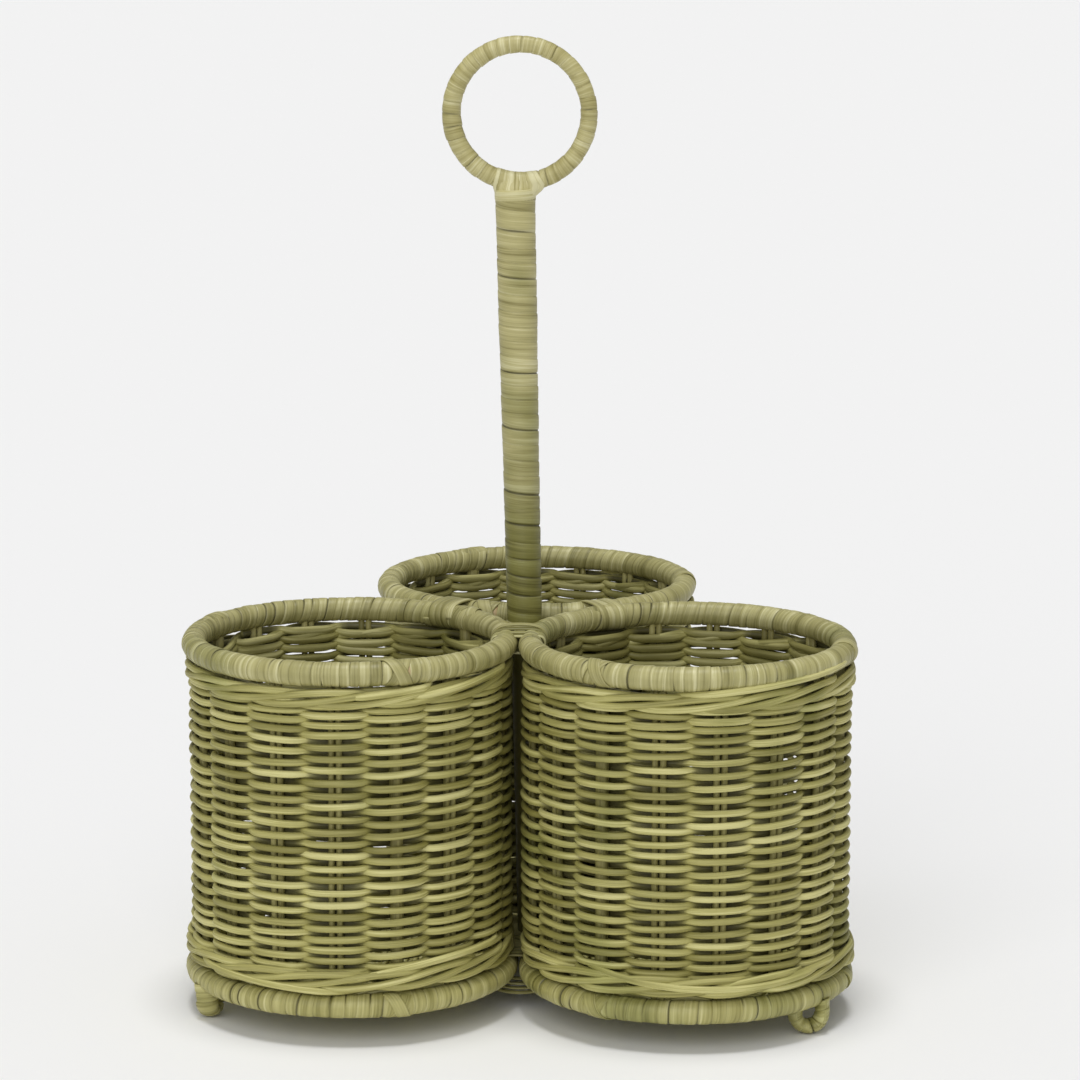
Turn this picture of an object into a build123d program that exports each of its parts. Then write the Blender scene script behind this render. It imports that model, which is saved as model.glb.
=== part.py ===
from build123d import *
import math
import os

os.makedirs("parts", exist_ok=True)

# Baskets: all alike, evenly round the post, each between two wrapped cane hoops
basket_names = ("back", "left", "right")
back_angle = 90
hoop_outer_radius = 56.5
hoop_cane_radius = 3.1
hoop_peel_thickness = 0.9
hoop_spacing = 0.2
basket_rise = 111.6
peel_clearance = 0.1
seat_gap = 0.2

# Woven wall, its waled edges and the stakes inside it
wall_inset = 1.8
wall_thickness = 7.0
top_wale_height = 6.0
base_wale_height = 8.0
column_count = 16
column_phase = {"back": 8, "left": 0, "right": 14}
upright_columns = {"back": (0, 5, 11), "left": (2, 7, 13), "right": (5, 10, 15)}
upright_radius = 2.4
stake_radius = 1.1
stake_spread = 2.5
reed_thickness = 2.3
weave_clearance = 0.3

# Woven floor of each basket
floor_thickness = 5.0
floor_clearance = 0.3
spoke_count = 16
spoke_radius = 1.2
spoke_inner_radius = 10.0

# Feet: a flat bent loop under the outer side of each basket
foot_drop = 9.4
foot_width = 14.0
foot_thickness = 4.2
foot_breadth = 6.6
foot_edge_radius = 1.8
foot_flat = 0.4
foot_offset_angle = -4.5
foot_turns = {"back": 56, "left": 52, "right": 42}
foot_inset = 2.0
foot_seat_share = 0.7

# Lashings that tie the hoops to each other and to the post
lash_width = 6.5
lash_inset = 3.0
lash_thickness = 1.0
lash_clearance = 0.3
collar_height = 6.2
collar_clearance = 0.2

# Post, wound with flat peel, and the ring handle on it
lean_room_share = 0.657
post_low_radius = 4.75
post_top_radius = 5.7
post_rise = 147.0
wind_turns = 24
wind_gap = 0.55
wind_thickness = 0.9
wind_edge_radius = 0.3
wind_clearance = 0.12
wind_chunk = 2
points_per_chunk = 48
band_height = 2.8
band_thickness = 1.1
ring_lift = 4.1
ring_shift = 2.3
ring_radius = 23.1
ring_cane_radius = 2.1
ring_peel_thickness = 0.8
neck_radius = 3.4
neck_half_angle = 30
neck_reach = 9.0
neck_depth = 3.2
neck_base_radius = 6.3

overrun = 1.0

# Worked out: hoops
hoop_wrap_radius = hoop_cane_radius + peel_clearance + hoop_peel_thickness
hoop_radius = hoop_outer_radius - hoop_wrap_radius
hoop_inner_radius = hoop_radius - hoop_wrap_radius
basket_turn = 360 / len(basket_names)
basket_angles = {name: back_angle + k * basket_turn for k, name in enumerate(basket_names)}
corner_half_angle = 90 - basket_turn / 2
contact_turns = (180 - corner_half_angle, 180 + corner_half_angle)
contact_reach = hoop_outer_radius + hoop_spacing / 2
triangle_radius = contact_reach / math.sin(math.radians(basket_turn / 2))
base_height = foot_drop + hoop_wrap_radius
rim_height = base_height + basket_rise

# The origin is on the floor, at the middle of the outline: the post stands in front of it
basket_places = [triangle_radius * math.sin(math.radians(a)) for a in basket_angles.values()]
post_y = -(max(basket_places) + min(basket_places)) / 2

# Worked out: wall
wall_outer_radius = hoop_outer_radius - wall_inset
wall_inner_radius = wall_outer_radius - wall_thickness
stake_circle_radius = (wall_outer_radius + wall_inner_radius) / 2
waist_outer_radius = stake_circle_radius + reed_thickness / 2
waist_inner_radius = stake_circle_radius - reed_thickness / 2
lash_reach = lash_inset + lash_width / 2
lash_sag = hoop_radius - math.sqrt(hoop_radius**2 - lash_reach**2)
lash_half_width = 2 * hoop_wrap_radius + hoop_spacing / 2 + lash_sag + lash_clearance
lash_half_height = hoop_wrap_radius + lash_clearance
wale_standoff = lash_half_height + lash_thickness + weave_clearance
wall_bottom = base_height + wale_standoff + base_wale_height
wall_top = rim_height - wale_standoff - top_wale_height
hub_radius = triangle_radius - hoop_outer_radius

# Worked out: the post leans as far as a share of the room in its collar at the base lets it
lean_room = hub_radius - post_low_radius - 2 * collar_clearance
post_lean = math.atan(lean_room_share * lean_room / basket_rise)
ring_rise = post_rise + ring_lift + ring_radius


def basket_plane(basket, height):
    """The level plane at a height whose origin is on a basket's own axis."""
    angle = math.radians(basket_angles[basket])
    x = triangle_radius * math.cos(angle)
    y = post_y + triangle_radius * math.sin(angle)
    return Plane(origin=(x, y, height))


def column_angles(basket):
    """Plan angles of a basket's upright columns and of its stake-pair columns, in degrees."""
    angles = [column_phase[basket] + k * 360 / column_count for k in range(column_count)]
    uprights = [angles[k] for k in upright_columns[basket]]
    return uprights, [a for a in angles if a not in uprights]


def column_ends(basket, angle, half_width):
    """Lowest and highest point of a column, which stops short of a lashing that lies over it."""
    reach = lash_reach + half_width + weave_clearance
    for turn in contact_turns:
        off = math.radians((angle - basket_angles[basket] - turn + 180) % 360 - 180)
        if abs(off) < math.radians(90) and abs(stake_circle_radius * math.sin(off)) < reach:
            return base_height + wale_standoff, rim_height - wale_standoff
    return base_height + hoop_wrap_radius + seat_gap, rim_height - hoop_wrap_radius - seat_gap


def column_wave(basket, crest_radius, waist_radius):
    """A closed wave round a basket: a crest at each column, and a waist where the reeds cross between."""
    points = []
    for k in range(2 * column_count):
        angle = math.radians(column_phase[basket] + k * 180 / column_count)
        radius = waist_radius if k % 2 else crest_radius
        points.append((radius * math.cos(angle), radius * math.sin(angle)))
    return Spline(points, periodic=True)


def woven_band(basket, bottom, height, waisted):
    """A closed ring of weave with a channel for each column of stakes, waisted between the columns or plain."""
    uprights, pairs = column_angles(basket)
    with BuildPart() as band:
        with BuildSketch(basket_plane(basket, bottom)):
            if waisted:
                with BuildLine():
                    column_wave(basket, wall_outer_radius, waist_outer_radius)
                make_face()
                with BuildLine():
                    column_wave(basket, wall_inner_radius, waist_inner_radius)
                make_face(mode=Mode.SUBTRACT)
            else:
                Circle(wall_outer_radius)
                Circle(wall_inner_radius, mode=Mode.SUBTRACT)
            for angle in uprights:
                with PolarLocations(stake_circle_radius, 1, start_angle=angle):
                    Circle(upright_radius + weave_clearance, mode=Mode.SUBTRACT)
            for angle in pairs:
                with PolarLocations(stake_circle_radius, 1, start_angle=angle):
                    SlotCenterToCenter(
                        stake_spread, 2 * (stake_radius + weave_clearance), rotation=90, mode=Mode.SUBTRACT
                    )
        extrude(amount=height)
    return band.part


# Each basket, from the floor up
for basket, basket_angle in basket_angles.items():
    uprights, pairs = column_angles(basket)
    base_plane = basket_plane(basket, base_height)
    rim_plane = basket_plane(basket, rim_height)

    with BuildPart(base_plane) as base_hoop:
        Torus(hoop_radius, hoop_cane_radius)
    base_hoop.part.label = f"{basket}_base_hoop"
    export_step(base_hoop.part, f"parts/{basket}_base_hoop.step")

    with BuildPart(base_plane) as base_binding:
        Torus(hoop_radius, hoop_wrap_radius)
        Torus(hoop_radius, hoop_cane_radius + peel_clearance, mode=Mode.SUBTRACT)
    base_binding.part.label = f"{basket}_base_binding"
    export_step(base_binding.part, f"parts/{basket}_base_binding.step")

    with BuildPart(rim_plane) as rim_hoop:
        Torus(hoop_radius, hoop_cane_radius)
    rim_hoop.part.label = f"{basket}_rim_hoop"
    export_step(rim_hoop.part, f"parts/{basket}_rim_hoop.step")

    with BuildPart(rim_plane) as rim_binding:
        Torus(hoop_radius, hoop_wrap_radius)
        Torus(hoop_radius, hoop_cane_radius + peel_clearance, mode=Mode.SUBTRACT)
    rim_binding.part.label = f"{basket}_rim_binding"
    export_step(rim_binding.part, f"parts/{basket}_rim_binding.step")

    with BuildPart() as frame_uprights:
        for angle in uprights:
            low, high = column_ends(basket, angle, upright_radius)
            with BuildSketch(basket_plane(basket, low)):
                with PolarLocations(stake_circle_radius, 1, start_angle=angle):
                    Circle(upright_radius)
            extrude(amount=high - low)
    frame_uprights.part.label = f"{basket}_uprights"
    export_step(frame_uprights.part, f"parts/{basket}_uprights.step")

    with BuildPart() as stakes:
        for angle in pairs:
            low, high = column_ends(basket, angle, stake_spread / 2 + stake_radius)
            with BuildSketch(basket_plane(basket, low)):
                with PolarLocations(stake_circle_radius, 1, start_angle=angle):
                    with GridLocations(0, stake_spread, 1, 2):
                        Circle(stake_radius)
            extrude(amount=high - low)
    stakes.part.label = f"{basket}_stakes"
    export_step(stakes.part, f"parts/{basket}_stakes.step")

    base_wale = woven_band(basket, base_height + wale_standoff, base_wale_height, waisted=False)
    base_wale.label = f"{basket}_base_wale"
    export_step(base_wale, f"parts/{basket}_base_wale.step")

    wall = woven_band(basket, wall_bottom, wall_top - wall_bottom, waisted=True)
    wall.label = f"{basket}_woven_wall"
    export_step(wall, f"parts/{basket}_woven_wall.step")

    top_wale = woven_band(basket, wall_top, top_wale_height, waisted=False)
    top_wale.label = f"{basket}_top_wale"
    export_step(top_wale, f"parts/{basket}_top_wale.step")

    # The floor's edge has two notches that clear the lashings of the base hoop
    floor_radius = hoop_inner_radius - floor_clearance
    notch_radius = contact_reach - lash_half_width - lash_thickness - floor_clearance
    notch_depth = floor_radius - notch_radius + overrun
    spoke_length = floor_radius - spoke_inner_radius
    spoke_middle = spoke_inner_radius + spoke_length / 2
    spoke_start = basket_angle + 180 / spoke_count
    with BuildPart(base_plane) as floor_spokes:
        with PolarLocations(spoke_middle, spoke_count, start_angle=spoke_start):
            Cylinder(spoke_radius, spoke_length, rotation=(0, 90, 0))
    floor_spokes.part.label = f"{basket}_floor_spokes"
    export_step(floor_spokes.part, f"parts/{basket}_floor_spokes.step")

    with BuildPart(base_plane) as floor_weave:
        Cylinder(floor_radius, floor_thickness)
        with PolarLocations(spoke_middle, spoke_count, start_angle=spoke_start):
            Cylinder(
                spoke_radius + floor_clearance,
                spoke_length + 2 * floor_clearance,
                rotation=(0, 90, 0),
                mode=Mode.SUBTRACT,
            )
        for turn, side in zip(contact_turns, (1, -1)):
            with PolarLocations(notch_radius, 1, start_angle=basket_angle + turn):
                with Locations((0, side * lash_inset)):
                    Box(
                        notch_depth,
                        lash_width + 2 * floor_clearance,
                        floor_thickness + overrun,
                        align=(Align.MIN, Align.CENTER, Align.CENTER),
                        mode=Mode.SUBTRACT,
                    )
    floor_weave.part.label = f"{basket}_floor_weave"
    export_step(floor_weave.part, f"parts/{basket}_floor_weave.step")

    foot_arm = math.radians(basket_angle + foot_offset_angle)
    foot_x = base_plane.origin.X + (hoop_radius - foot_inset) * math.cos(foot_arm)
    foot_y = base_plane.origin.Y + (hoop_radius - foot_inset) * math.sin(foot_arm)
    foot_heading = math.radians(basket_angle + foot_turns[basket])
    foot_plane = Plane(
        origin=(foot_x, foot_y, 0),
        x_dir=(math.cos(foot_heading), math.sin(foot_heading), 0),
        z_dir=(math.sin(foot_heading), -math.cos(foot_heading), 0),
    )
    foot_bend = (foot_width - foot_thickness) / 2
    foot_centre = foot_bend + foot_thickness / 2 - foot_flat
    foot_top = base_height - foot_seat_share * hoop_wrap_radius
    with BuildPart() as foot:
        with BuildLine(foot_plane) as loop:
            Line((-foot_bend, foot_top), (-foot_bend, foot_centre))
            ThreePointArc((-foot_bend, foot_centre), (0, foot_centre - foot_bend), (foot_bend, foot_centre))
            Line((foot_bend, foot_centre), (foot_bend, foot_top))
        leg_top = foot_plane.from_local_coords((-foot_bend, foot_top))
        with BuildSketch(Plane(origin=leg_top, x_dir=foot_plane.x_dir, z_dir=(0, 0, -1))):
            RectangleRounded(foot_thickness, foot_breadth, foot_edge_radius)
        sweep(path=loop.wires()[0])
        split(bisect_by=Plane.XY, keep=Keep.TOP)
        with Locations(base_plane.origin):
            Torus(hoop_radius, hoop_wrap_radius + seat_gap, mode=Mode.SUBTRACT)
    foot.part.label = f"{basket}_foot"
    export_step(foot.part, f"parts/{basket}_foot.step")

# Bands round each pair of touching hoops, at the rim and at the base
opposite_baskets = {"front": "back", "right": "left", "left": "right"}
contact_radius = triangle_radius * math.cos(math.radians(basket_turn / 2))
for side, opposite in opposite_baskets.items():
    arm = math.radians(basket_angles[opposite] + 180)
    lash_radius = contact_radius - lash_inset + lash_width / 2
    for level, height in {"rim": rim_height, "base": base_height}.items():
        lash_plane = Plane(
            origin=(lash_radius * math.cos(arm), post_y + lash_radius * math.sin(arm), height),
            x_dir=(-math.sin(arm), math.cos(arm), 0),
            z_dir=(-math.cos(arm), -math.sin(arm), 0),
        )
        with BuildPart() as lashing:
            with BuildSketch(lash_plane):
                SlotOverall(
                    2 * (lash_half_width + lash_thickness), 2 * (lash_half_height + lash_thickness)
                )
                SlotOverall(2 * lash_half_width, 2 * lash_half_height, mode=Mode.SUBTRACT)
            extrude(amount=lash_width)
        lashing.part.label = f"{side}_{level}_lashing"
        export_step(lashing.part, f"parts/{side}_{level}_lashing.step")

# The post leans a little to the left from the rim hoops up
post_plane = Plane(
    origin=(0, post_y, rim_height),
    x_dir=(math.cos(post_lean), 0, math.sin(post_lean)),
    z_dir=(-math.sin(post_lean), 0, math.cos(post_lean)),
)
post_bottom = -(basket_rise + hoop_wrap_radius)
post_profile_plane = Plane(origin=post_plane.origin, x_dir=post_plane.x_dir, z_dir=(0, -1, 0))
post_axis = Axis(post_plane.origin, post_plane.z_dir)

with BuildPart() as post_core:
    with BuildSketch(post_profile_plane):
        Polygon(
            (0, post_bottom),
            (post_low_radius, post_bottom),
            (post_low_radius, 0),
            (post_top_radius, post_rise),
            (0, post_rise),
            align=None,
        )
    revolve(axis=post_axis)
post_core.part.label = "post_core"
export_step(post_core.part, "parts/post_core.step")

# Collars of peel that wedge the post between the three hoops
for level, height in {"rim": rim_height, "base": base_height}.items():
    with BuildPart() as collar:
        with BuildSketch(Plane(origin=(0, post_y, height - collar_height / 2))):
            Circle(hub_radius - collar_clearance)
        extrude(amount=collar_height)
        with BuildSketch(post_plane.offset(post_bottom - overrun)):
            Circle(post_low_radius + collar_clearance)
        extrude(amount=-post_bottom + collar_height + overrun, mode=Mode.SUBTRACT)
    collar.part.label = f"post_{level}_lashing"
    export_step(collar.part, f"parts/post_{level}_lashing.step")


def post_radius(height):
    """The bare post's radius at a height above the rim hoops' centre."""
    return post_low_radius + (post_top_radius - post_low_radius) * max(height, 0) / post_rise


# The flat peel wound on the post: one strip, in one helix on the post's taper
wind_bottom = collar_height / 2 + seat_gap
wind_top = post_rise - band_height - seat_gap
wind_pitch = (wind_top - wind_bottom + wind_gap) / (wind_turns + 1)
wind_width = wind_pitch - wind_gap
wind_start = wind_bottom + wind_width / 2


def wind_height(turn):
    """Height of the strip's middle line after so many turns."""
    return wind_start + wind_pitch * turn


def wind_point(turn):
    """A point of the strip's middle line, on the taper of the post."""
    angle = 2 * math.pi * turn
    radius = post_radius(wind_height(turn)) + wind_clearance + wind_thickness / 2
    return Vector(radius * math.cos(angle), radius * math.sin(angle), wind_height(turn))


def wind_heading(turn):
    """The strip's direction at a point of its middle line."""
    angle = 2 * math.pi * turn
    radius = post_radius(wind_height(turn)) + wind_clearance + wind_thickness / 2
    growth = (post_top_radius - post_low_radius) / post_rise * wind_pitch / (2 * math.pi)
    return Vector(
        growth * math.cos(angle) - radius * math.sin(angle),
        growth * math.sin(angle) + radius * math.cos(angle),
        wind_pitch / (2 * math.pi),
    ).normalized()


def biarc_joint(start, end, start_heading, end_heading):
    """The point where two arcs that share a tangent meet, for equal reaches at both ends."""
    chord = end - start
    both = start_heading + end_heading
    a = 4 - both.dot(both)
    b = 2 * chord.dot(both)
    reach = (-b + math.sqrt(b * b + 4 * a * chord.dot(chord))) / (2 * a)
    return (start + end + (start_heading - end_heading) * reach) / 2


wound_lengths = []
edge_points = []
with BuildPart() as winding:
    for first in range(0, wind_turns, wind_chunk):
        with BuildLine() as strip_path:
            for half in range(2 * wind_chunk):
                turn = first + half / 2
                start, end = wind_point(turn), wind_point(turn + 1 / 2)
                start_heading, end_heading = wind_heading(turn), wind_heading(turn + 1 / 2)
                joint = biarc_joint(start, end, start_heading, end_heading)
                TangentArc(start, joint, tangent=start_heading)
                TangentArc(end, joint, tangent=-end_heading)
        with BuildLine() as axis_line:
            Line((0, 0, wind_height(first)), (0, 0, wind_height(first + wind_chunk)))
        here = wind_point(first)
        outward = (here.X, here.Y, 0)
        with BuildSketch(Plane(origin=here, x_dir=outward, z_dir=wind_heading(first))):
            RectangleRounded(wind_thickness, wind_width, wind_edge_radius)
        middle = strip_path.wires()[0]
        wound_lengths.append(
            sweep(path=middle, binormal=axis_line.wires()[0], clean=False, mode=Mode.PRIVATE)
        )
        edge_points += [middle @ (k / points_per_chunk) for k in range(points_per_chunk)]
    add(wound_lengths)
post_binding = post_plane.from_local_coords(winding.part)
post_binding.label = "post_binding"
export_step(post_binding, "parts/post_binding.step")

# The least gap between a turn's upper edge and the next turn's lower edge, measured on points
points_per_turn = points_per_chunk // wind_chunk
half_width = Vector(0, 0, wind_width / 2)
least_gap = min(
    ((edge_points[k + points_per_turn + step] - half_width) - (edge_points[k] + half_width)).length
    for k in range(len(edge_points) - 2 * points_per_turn)
    for step in range(-2, 3)
)
print("post_binding turns", wind_turns, "least gap to itself", round(least_gap, 3), "mm")

# The thick top turn that holds the strip's end
with BuildPart() as post_band:
    with BuildSketch(post_plane.offset(post_rise - band_height)):
        Circle(post_top_radius + wind_clearance + band_thickness)
        Circle(post_top_radius + wind_clearance, mode=Mode.SUBTRACT)
    extrude(amount=band_height)
post_band.part.label = "post_band"
export_step(post_band.part, "parts/post_band.step")

# Ring handle, upright on the post and a little to its right, its plane across the front
ring_centre = post_plane.from_local_coords((ring_shift, 0, ring_rise))
ring_plane = Plane(origin=ring_centre, x_dir=post_plane.x_dir, z_dir=(0, -1, 0))
with BuildPart(ring_plane) as handle_ring:
    Torus(ring_radius, ring_cane_radius)
handle_ring.part.label = "handle_ring"
export_step(handle_ring.part, "parts/handle_ring.step")

ring_wrap_radius = ring_cane_radius + peel_clearance + ring_peel_thickness
neck_angle = 2 * neck_half_angle
with BuildPart(ring_plane) as handle_binding:
    Torus(
        ring_radius,
        ring_wrap_radius,
        major_angle=360 - neck_angle,
        rotation=(0, 0, neck_half_angle - 90),
        align=None,
    )
    Torus(ring_radius, ring_cane_radius + peel_clearance, mode=Mode.SUBTRACT)
handle_binding.part.label = "handle_binding"
export_step(handle_binding.part, "parts/handle_binding.step")

# Neck: the fan of peel that ties the ring down on the post's top
with BuildPart() as neck_binding:
    with BuildSketch(post_plane.offset(post_rise)):
        Circle(neck_base_radius)
    with BuildSketch(post_plane.offset(ring_rise - ring_radius)):
        with Locations((ring_shift, 0)):
            Ellipse(neck_reach, neck_depth)
    loft()
    with BuildPart(ring_plane, mode=Mode.PRIVATE) as neck_sleeve:
        Torus(
            ring_radius,
            neck_radius,
            major_angle=neck_angle,
            rotation=(0, 0, -90 - neck_half_angle),
            align=None,
        )
    add(neck_sleeve.part)
    with BuildPart(ring_plane, mode=Mode.PRIVATE) as ring_room:
        Torus(ring_radius, ring_cane_radius + peel_clearance)
    add(ring_room.part, mode=Mode.SUBTRACT)
neck_binding.part.label = "neck_binding"
export_step(neck_binding.part, "parts/neck_binding.step")

ring_top = ring_centre.Z + ring_radius + ring_wrap_radius
print("half width", contact_reach + hoop_outer_radius, "post place", post_y, "ring top", ring_top)
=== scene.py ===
import math
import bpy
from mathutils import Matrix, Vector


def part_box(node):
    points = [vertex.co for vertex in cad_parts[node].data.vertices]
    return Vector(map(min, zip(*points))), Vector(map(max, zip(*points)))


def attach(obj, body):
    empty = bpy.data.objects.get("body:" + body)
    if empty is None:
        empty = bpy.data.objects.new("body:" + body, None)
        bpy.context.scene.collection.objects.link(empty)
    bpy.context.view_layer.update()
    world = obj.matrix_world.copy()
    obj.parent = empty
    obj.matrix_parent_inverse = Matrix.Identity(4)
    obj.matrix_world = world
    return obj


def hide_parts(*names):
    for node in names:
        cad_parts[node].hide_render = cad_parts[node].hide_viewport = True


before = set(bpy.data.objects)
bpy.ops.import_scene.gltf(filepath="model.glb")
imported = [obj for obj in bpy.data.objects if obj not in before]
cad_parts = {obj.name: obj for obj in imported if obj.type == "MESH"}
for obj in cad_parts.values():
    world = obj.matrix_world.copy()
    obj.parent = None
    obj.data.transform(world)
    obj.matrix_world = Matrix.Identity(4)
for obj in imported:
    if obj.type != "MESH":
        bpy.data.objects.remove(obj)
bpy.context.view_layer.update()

import zlib

import bmesh
import bpy
import numpy as np
from mathutils import Vector

MM = 0.001
BODY = "root"

# A bottle caddy of dyed rattan: three woven baskets lashed round a post that ends in a ring

# Reeds and canes, by their half sizes. A weaver is tallest where it runs inside, slimmest between columns
REED_DEPTH = 1.15 * MM
REED_CREST = 1.22 * MM
REED_WAIST = 1.12 * MM
REED_INSIDE = 1.5 * MM
STAKE_RADIUS = 1.1 * MM
STAKE_SPREAD = 2.5 * MM
UPRIGHT_RADIUS = 2.3 * MM
UPRIGHT_DEPTH = 2.0 * MM
FLOOR_REED = 0.85 * MM
SPOKE_RADIUS = 1.2 * MM

# Plan angle of each basket seen from the post, and its lines of contact with the others, turned from it
BASKET_ANGLES = {"back": 90, "left": 210, "right": 330}
CONTACT_TURNS = (150, 210)

# Columns of stakes: the first one's angle, and the columns that have a stout upright instead
COLUMNS = 16
COLUMN_PHASE = {"back": 8, "left": 0, "right": 14}
UPRIGHT_COLUMNS = {"back": (0, 5, 11), "left": (2, 7, 13), "right": (5, 10, 15)}
STEPS_PER_COLUMN = 10

# Wound peel: mean widths of a wrap on each piece, and how far the peel stands off its cane
RIM_WRAP = 3.4 * MM
BASE_WRAP = 4.3 * MM
POST_WRAP = 5.5 * MM
RING_WRAP = 4.3 * MM
FOOT_WRAP = 3.4 * MM
COLLAR_WRAP = 3.0 * MM
PEEL_HEIGHT = 0.4 * MM


def dice(name):
    """A generator of random numbers that depends on a piece's name alone."""
    return np.random.default_rng(zlib.crc32(name.encode()))


def drift(x, seed, size, period=None, span=1):
    """Smooth wander between -size and size: random knots every span of x, joined by cosine steps."""
    x = x / span
    low = np.floor(x).astype(int)
    share = (1 - np.cos(np.pi * (x - low))) / 2
    if period is None:
        knots = seed.uniform(-size, size, low.max() - low.min() + 2)
        first = low - low.min()
        return knots[first] * (1 - share) + knots[first + 1] * share
    knots = seed.uniform(-size, size, period)
    return knots[low % period] * (1 - share) + knots[(low + 1) % period] * share


def unit(vectors):
    """Each vector over its own length."""
    return vectors / np.linalg.norm(vectors, axis=-1, keepdims=True)


def grid_faces(rows, columns, wrap_rows=False, slip=0):
    """Faces of a grid that closes round its columns; the last column joins the first, slip rows back."""
    down_to = rows if wrap_rows else rows - 1
    row, column = np.meshgrid(np.arange(down_to), np.arange(columns), indexing="ij")

    def corner(down, across):
        at = row + down - slip * (column + across == columns)
        at = at % rows if wrap_rows else np.clip(at, 0, rows - 1)
        return at * columns + (column + across) % columns

    return np.stack([corner(0, 0), corner(0, 1), corner(1, 1), corner(1, 0)], -1).reshape(-1, 4)


def cap(circle, grain, shade, flip):
    """A flat end: a ring of points closed to its middle."""
    middle = np.broadcast_to(circle.mean(0), circle.shape)
    points = np.concatenate([circle, middle] if flip else [middle, circle])
    count = len(circle)
    return points, grid_faces(2, count), np.tile(grain, (2, 1)), np.tile(shade, (2, 1))


def piece(name, sheets, material, replaced=()):
    """One mesh from sheets of (points, faces, grain, shade), its seams welded, riding on the caddy.

    grain holds metres along, across and out of the fibres; shade holds tone, darkness of seams and of painted
    shade, and bare cane.
    """
    starts = np.cumsum([0] + [len(s[0]) for s in sheets[:-1]])
    points = np.concatenate([s[0] for s in sheets])
    faces = np.concatenate([s[1] + start for s, start in zip(sheets, starts)])
    ordered = np.sort(faces, axis=1)
    faces = faces[(np.diff(ordered, axis=1) > 0).all(1)]
    mesh = bpy.data.meshes.new(name)
    mesh.vertices.add(len(points))
    mesh.vertices.foreach_set("co", points.astype(np.float32).ravel())
    mesh.loops.add(faces.size)
    mesh.loops.foreach_set("vertex_index", faces.astype(np.int32).ravel())
    mesh.polygons.add(len(faces))
    mesh.polygons.foreach_set("loop_start", np.arange(0, faces.size, 4, dtype=np.int32))
    mesh.update(calc_edges=True)
    for title, column in (("grain", 2), ("shade", 3)):
        values = np.concatenate([s[column] for s in sheets]).astype(np.float32)
        mesh.attributes.new(title, "FLOAT_VECTOR", "POINT").data.foreach_set("vector", values.ravel())
    welded = bmesh.new()
    welded.from_mesh(mesh)
    bmesh.ops.remove_doubles(welded, verts=welded.verts, dist=MM / 1000)
    welded.to_mesh(mesh)
    welded.free()
    mesh.shade_smooth()
    mesh.materials.append(material)
    made = bpy.data.objects.new(name, mesh)
    bpy.context.scene.collection.objects.link(made)
    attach(made, BODY)
    if replaced:
        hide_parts(*replaced)
    return made


# Painted shade on a reed beside a stake: how far it reaches round the hidden side, and that on its inner side
CREVICE_EDGE = 0.45
INNER_SHADE = 0.45
# Tone of a plain reed: the length over which it wanders, how far, and how much one reed differs
TONE_LENGTH = 60 * MM
TONE_WANDER = 0.35
TONE_SPREAD = 0.15
# A strip of peel is flatter than an oval: the power for strand's squareness
STRIP_SQUARENESS = 0.7


def strand(centres, outward, depth, height, seed, sides=8, closed=False, squareness=1.0, tone=None,
           swing=0.0):
    """An oval reed along a line.

    At each point stands an oval, square to the line: depth is its half size along outward and height its
    half size across. Squareness below 1 raises the sine and cosine to that power, for flat peel. Where
    swing is 1 the reed lies in front of a stake and its back gets painted shade; where it is -1, its front.
    The inner side gets painted shade too, as far as swing is off zero. tone runs from 0 for dark to 1 for
    pale, and wanders by itself where none is given.
    """
    count = len(centres)
    if closed:
        along = np.roll(centres, -1, axis=0) - np.roll(centres, 1, axis=0)
    else:
        along = np.gradient(centres, axis=0)
    tangent = unit(along)
    normal = unit(outward - (outward * tangent).sum(-1, keepdims=True) * tangent)
    side = np.cross(tangent, normal)
    angle = 2 * np.pi * np.arange(sides) / sides
    cosine = np.sign(np.cos(angle)) * np.abs(np.cos(angle)) ** squareness
    sine = np.sign(np.sin(angle)) * np.abs(np.sin(angle)) ** squareness
    deep = np.broadcast_to(depth, count)[:, None] * cosine
    high = np.broadcast_to(height, count)[:, None] * sine
    points = centres[:, None] + deep[..., None] * normal[:, None] + high[..., None] * side[:, None]
    steps = np.linalg.norm(np.diff(centres, axis=0), axis=1)
    distance = np.concatenate([[0], np.cumsum(steps)]) + seed.uniform(0, 1)
    offset = seed.uniform(0, 1)
    grain = np.stack([np.broadcast_to(distance[:, None], deep.shape), high + offset, deep], -1)
    if tone is None:
        tone = 0.5 + drift(distance, seed, TONE_WANDER, span=TONE_LENGTH)
        tone = tone + seed.uniform(-TONE_SPREAD, TONE_SPREAD)
    shade = np.zeros(points.shape)
    shade[..., 0] = np.broadcast_to(tone, count)[:, None]
    swing = np.broadcast_to(swing, count)[:, None]
    # Painted shade: the side of a reed turned to a stake, and its inner side, are darkened
    behind, before = np.clip(-swing, 0, 1), np.clip(swing, 0, 1)
    front_side, back_side = np.clip(cosine + CREVICE_EDGE, 0, 1), np.clip(-cosine, 0, 1)
    hidden = behind * front_side + before * back_side + INNER_SHADE * np.abs(swing) * back_side
    shade[..., 1] = np.minimum(hidden, 1)
    faces = grid_faces(count, sides, wrap_rows=closed)
    sheets = [(points.reshape(-1, 3), faces, grain.reshape(-1, 3), shade.reshape(-1, 3))]
    if not closed:
        sheets.append(cap(points[0], grain[0], shade[0], False))
        sheets.append(cap(points[-1], grain[-1], shade[-1], True))
    return sheets


# Each wrap of peel is crossed at these shares of its width, and sinks into the seams by these shares
WRAP_SHARES = np.array([0.0, 0.05, 0.14, 0.32, 0.5, 0.68, 0.86, 0.95, 1.0])
SEAM_SHARES = np.array([1.0, 0.4, 0.08, 0.0, 0.0, 0.0, 0.08, 0.4, 1.0])
# Widths of single wraps, as shares of their mean
WRAP_WIDTH_SHARES = (0.72, 1.3)
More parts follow.
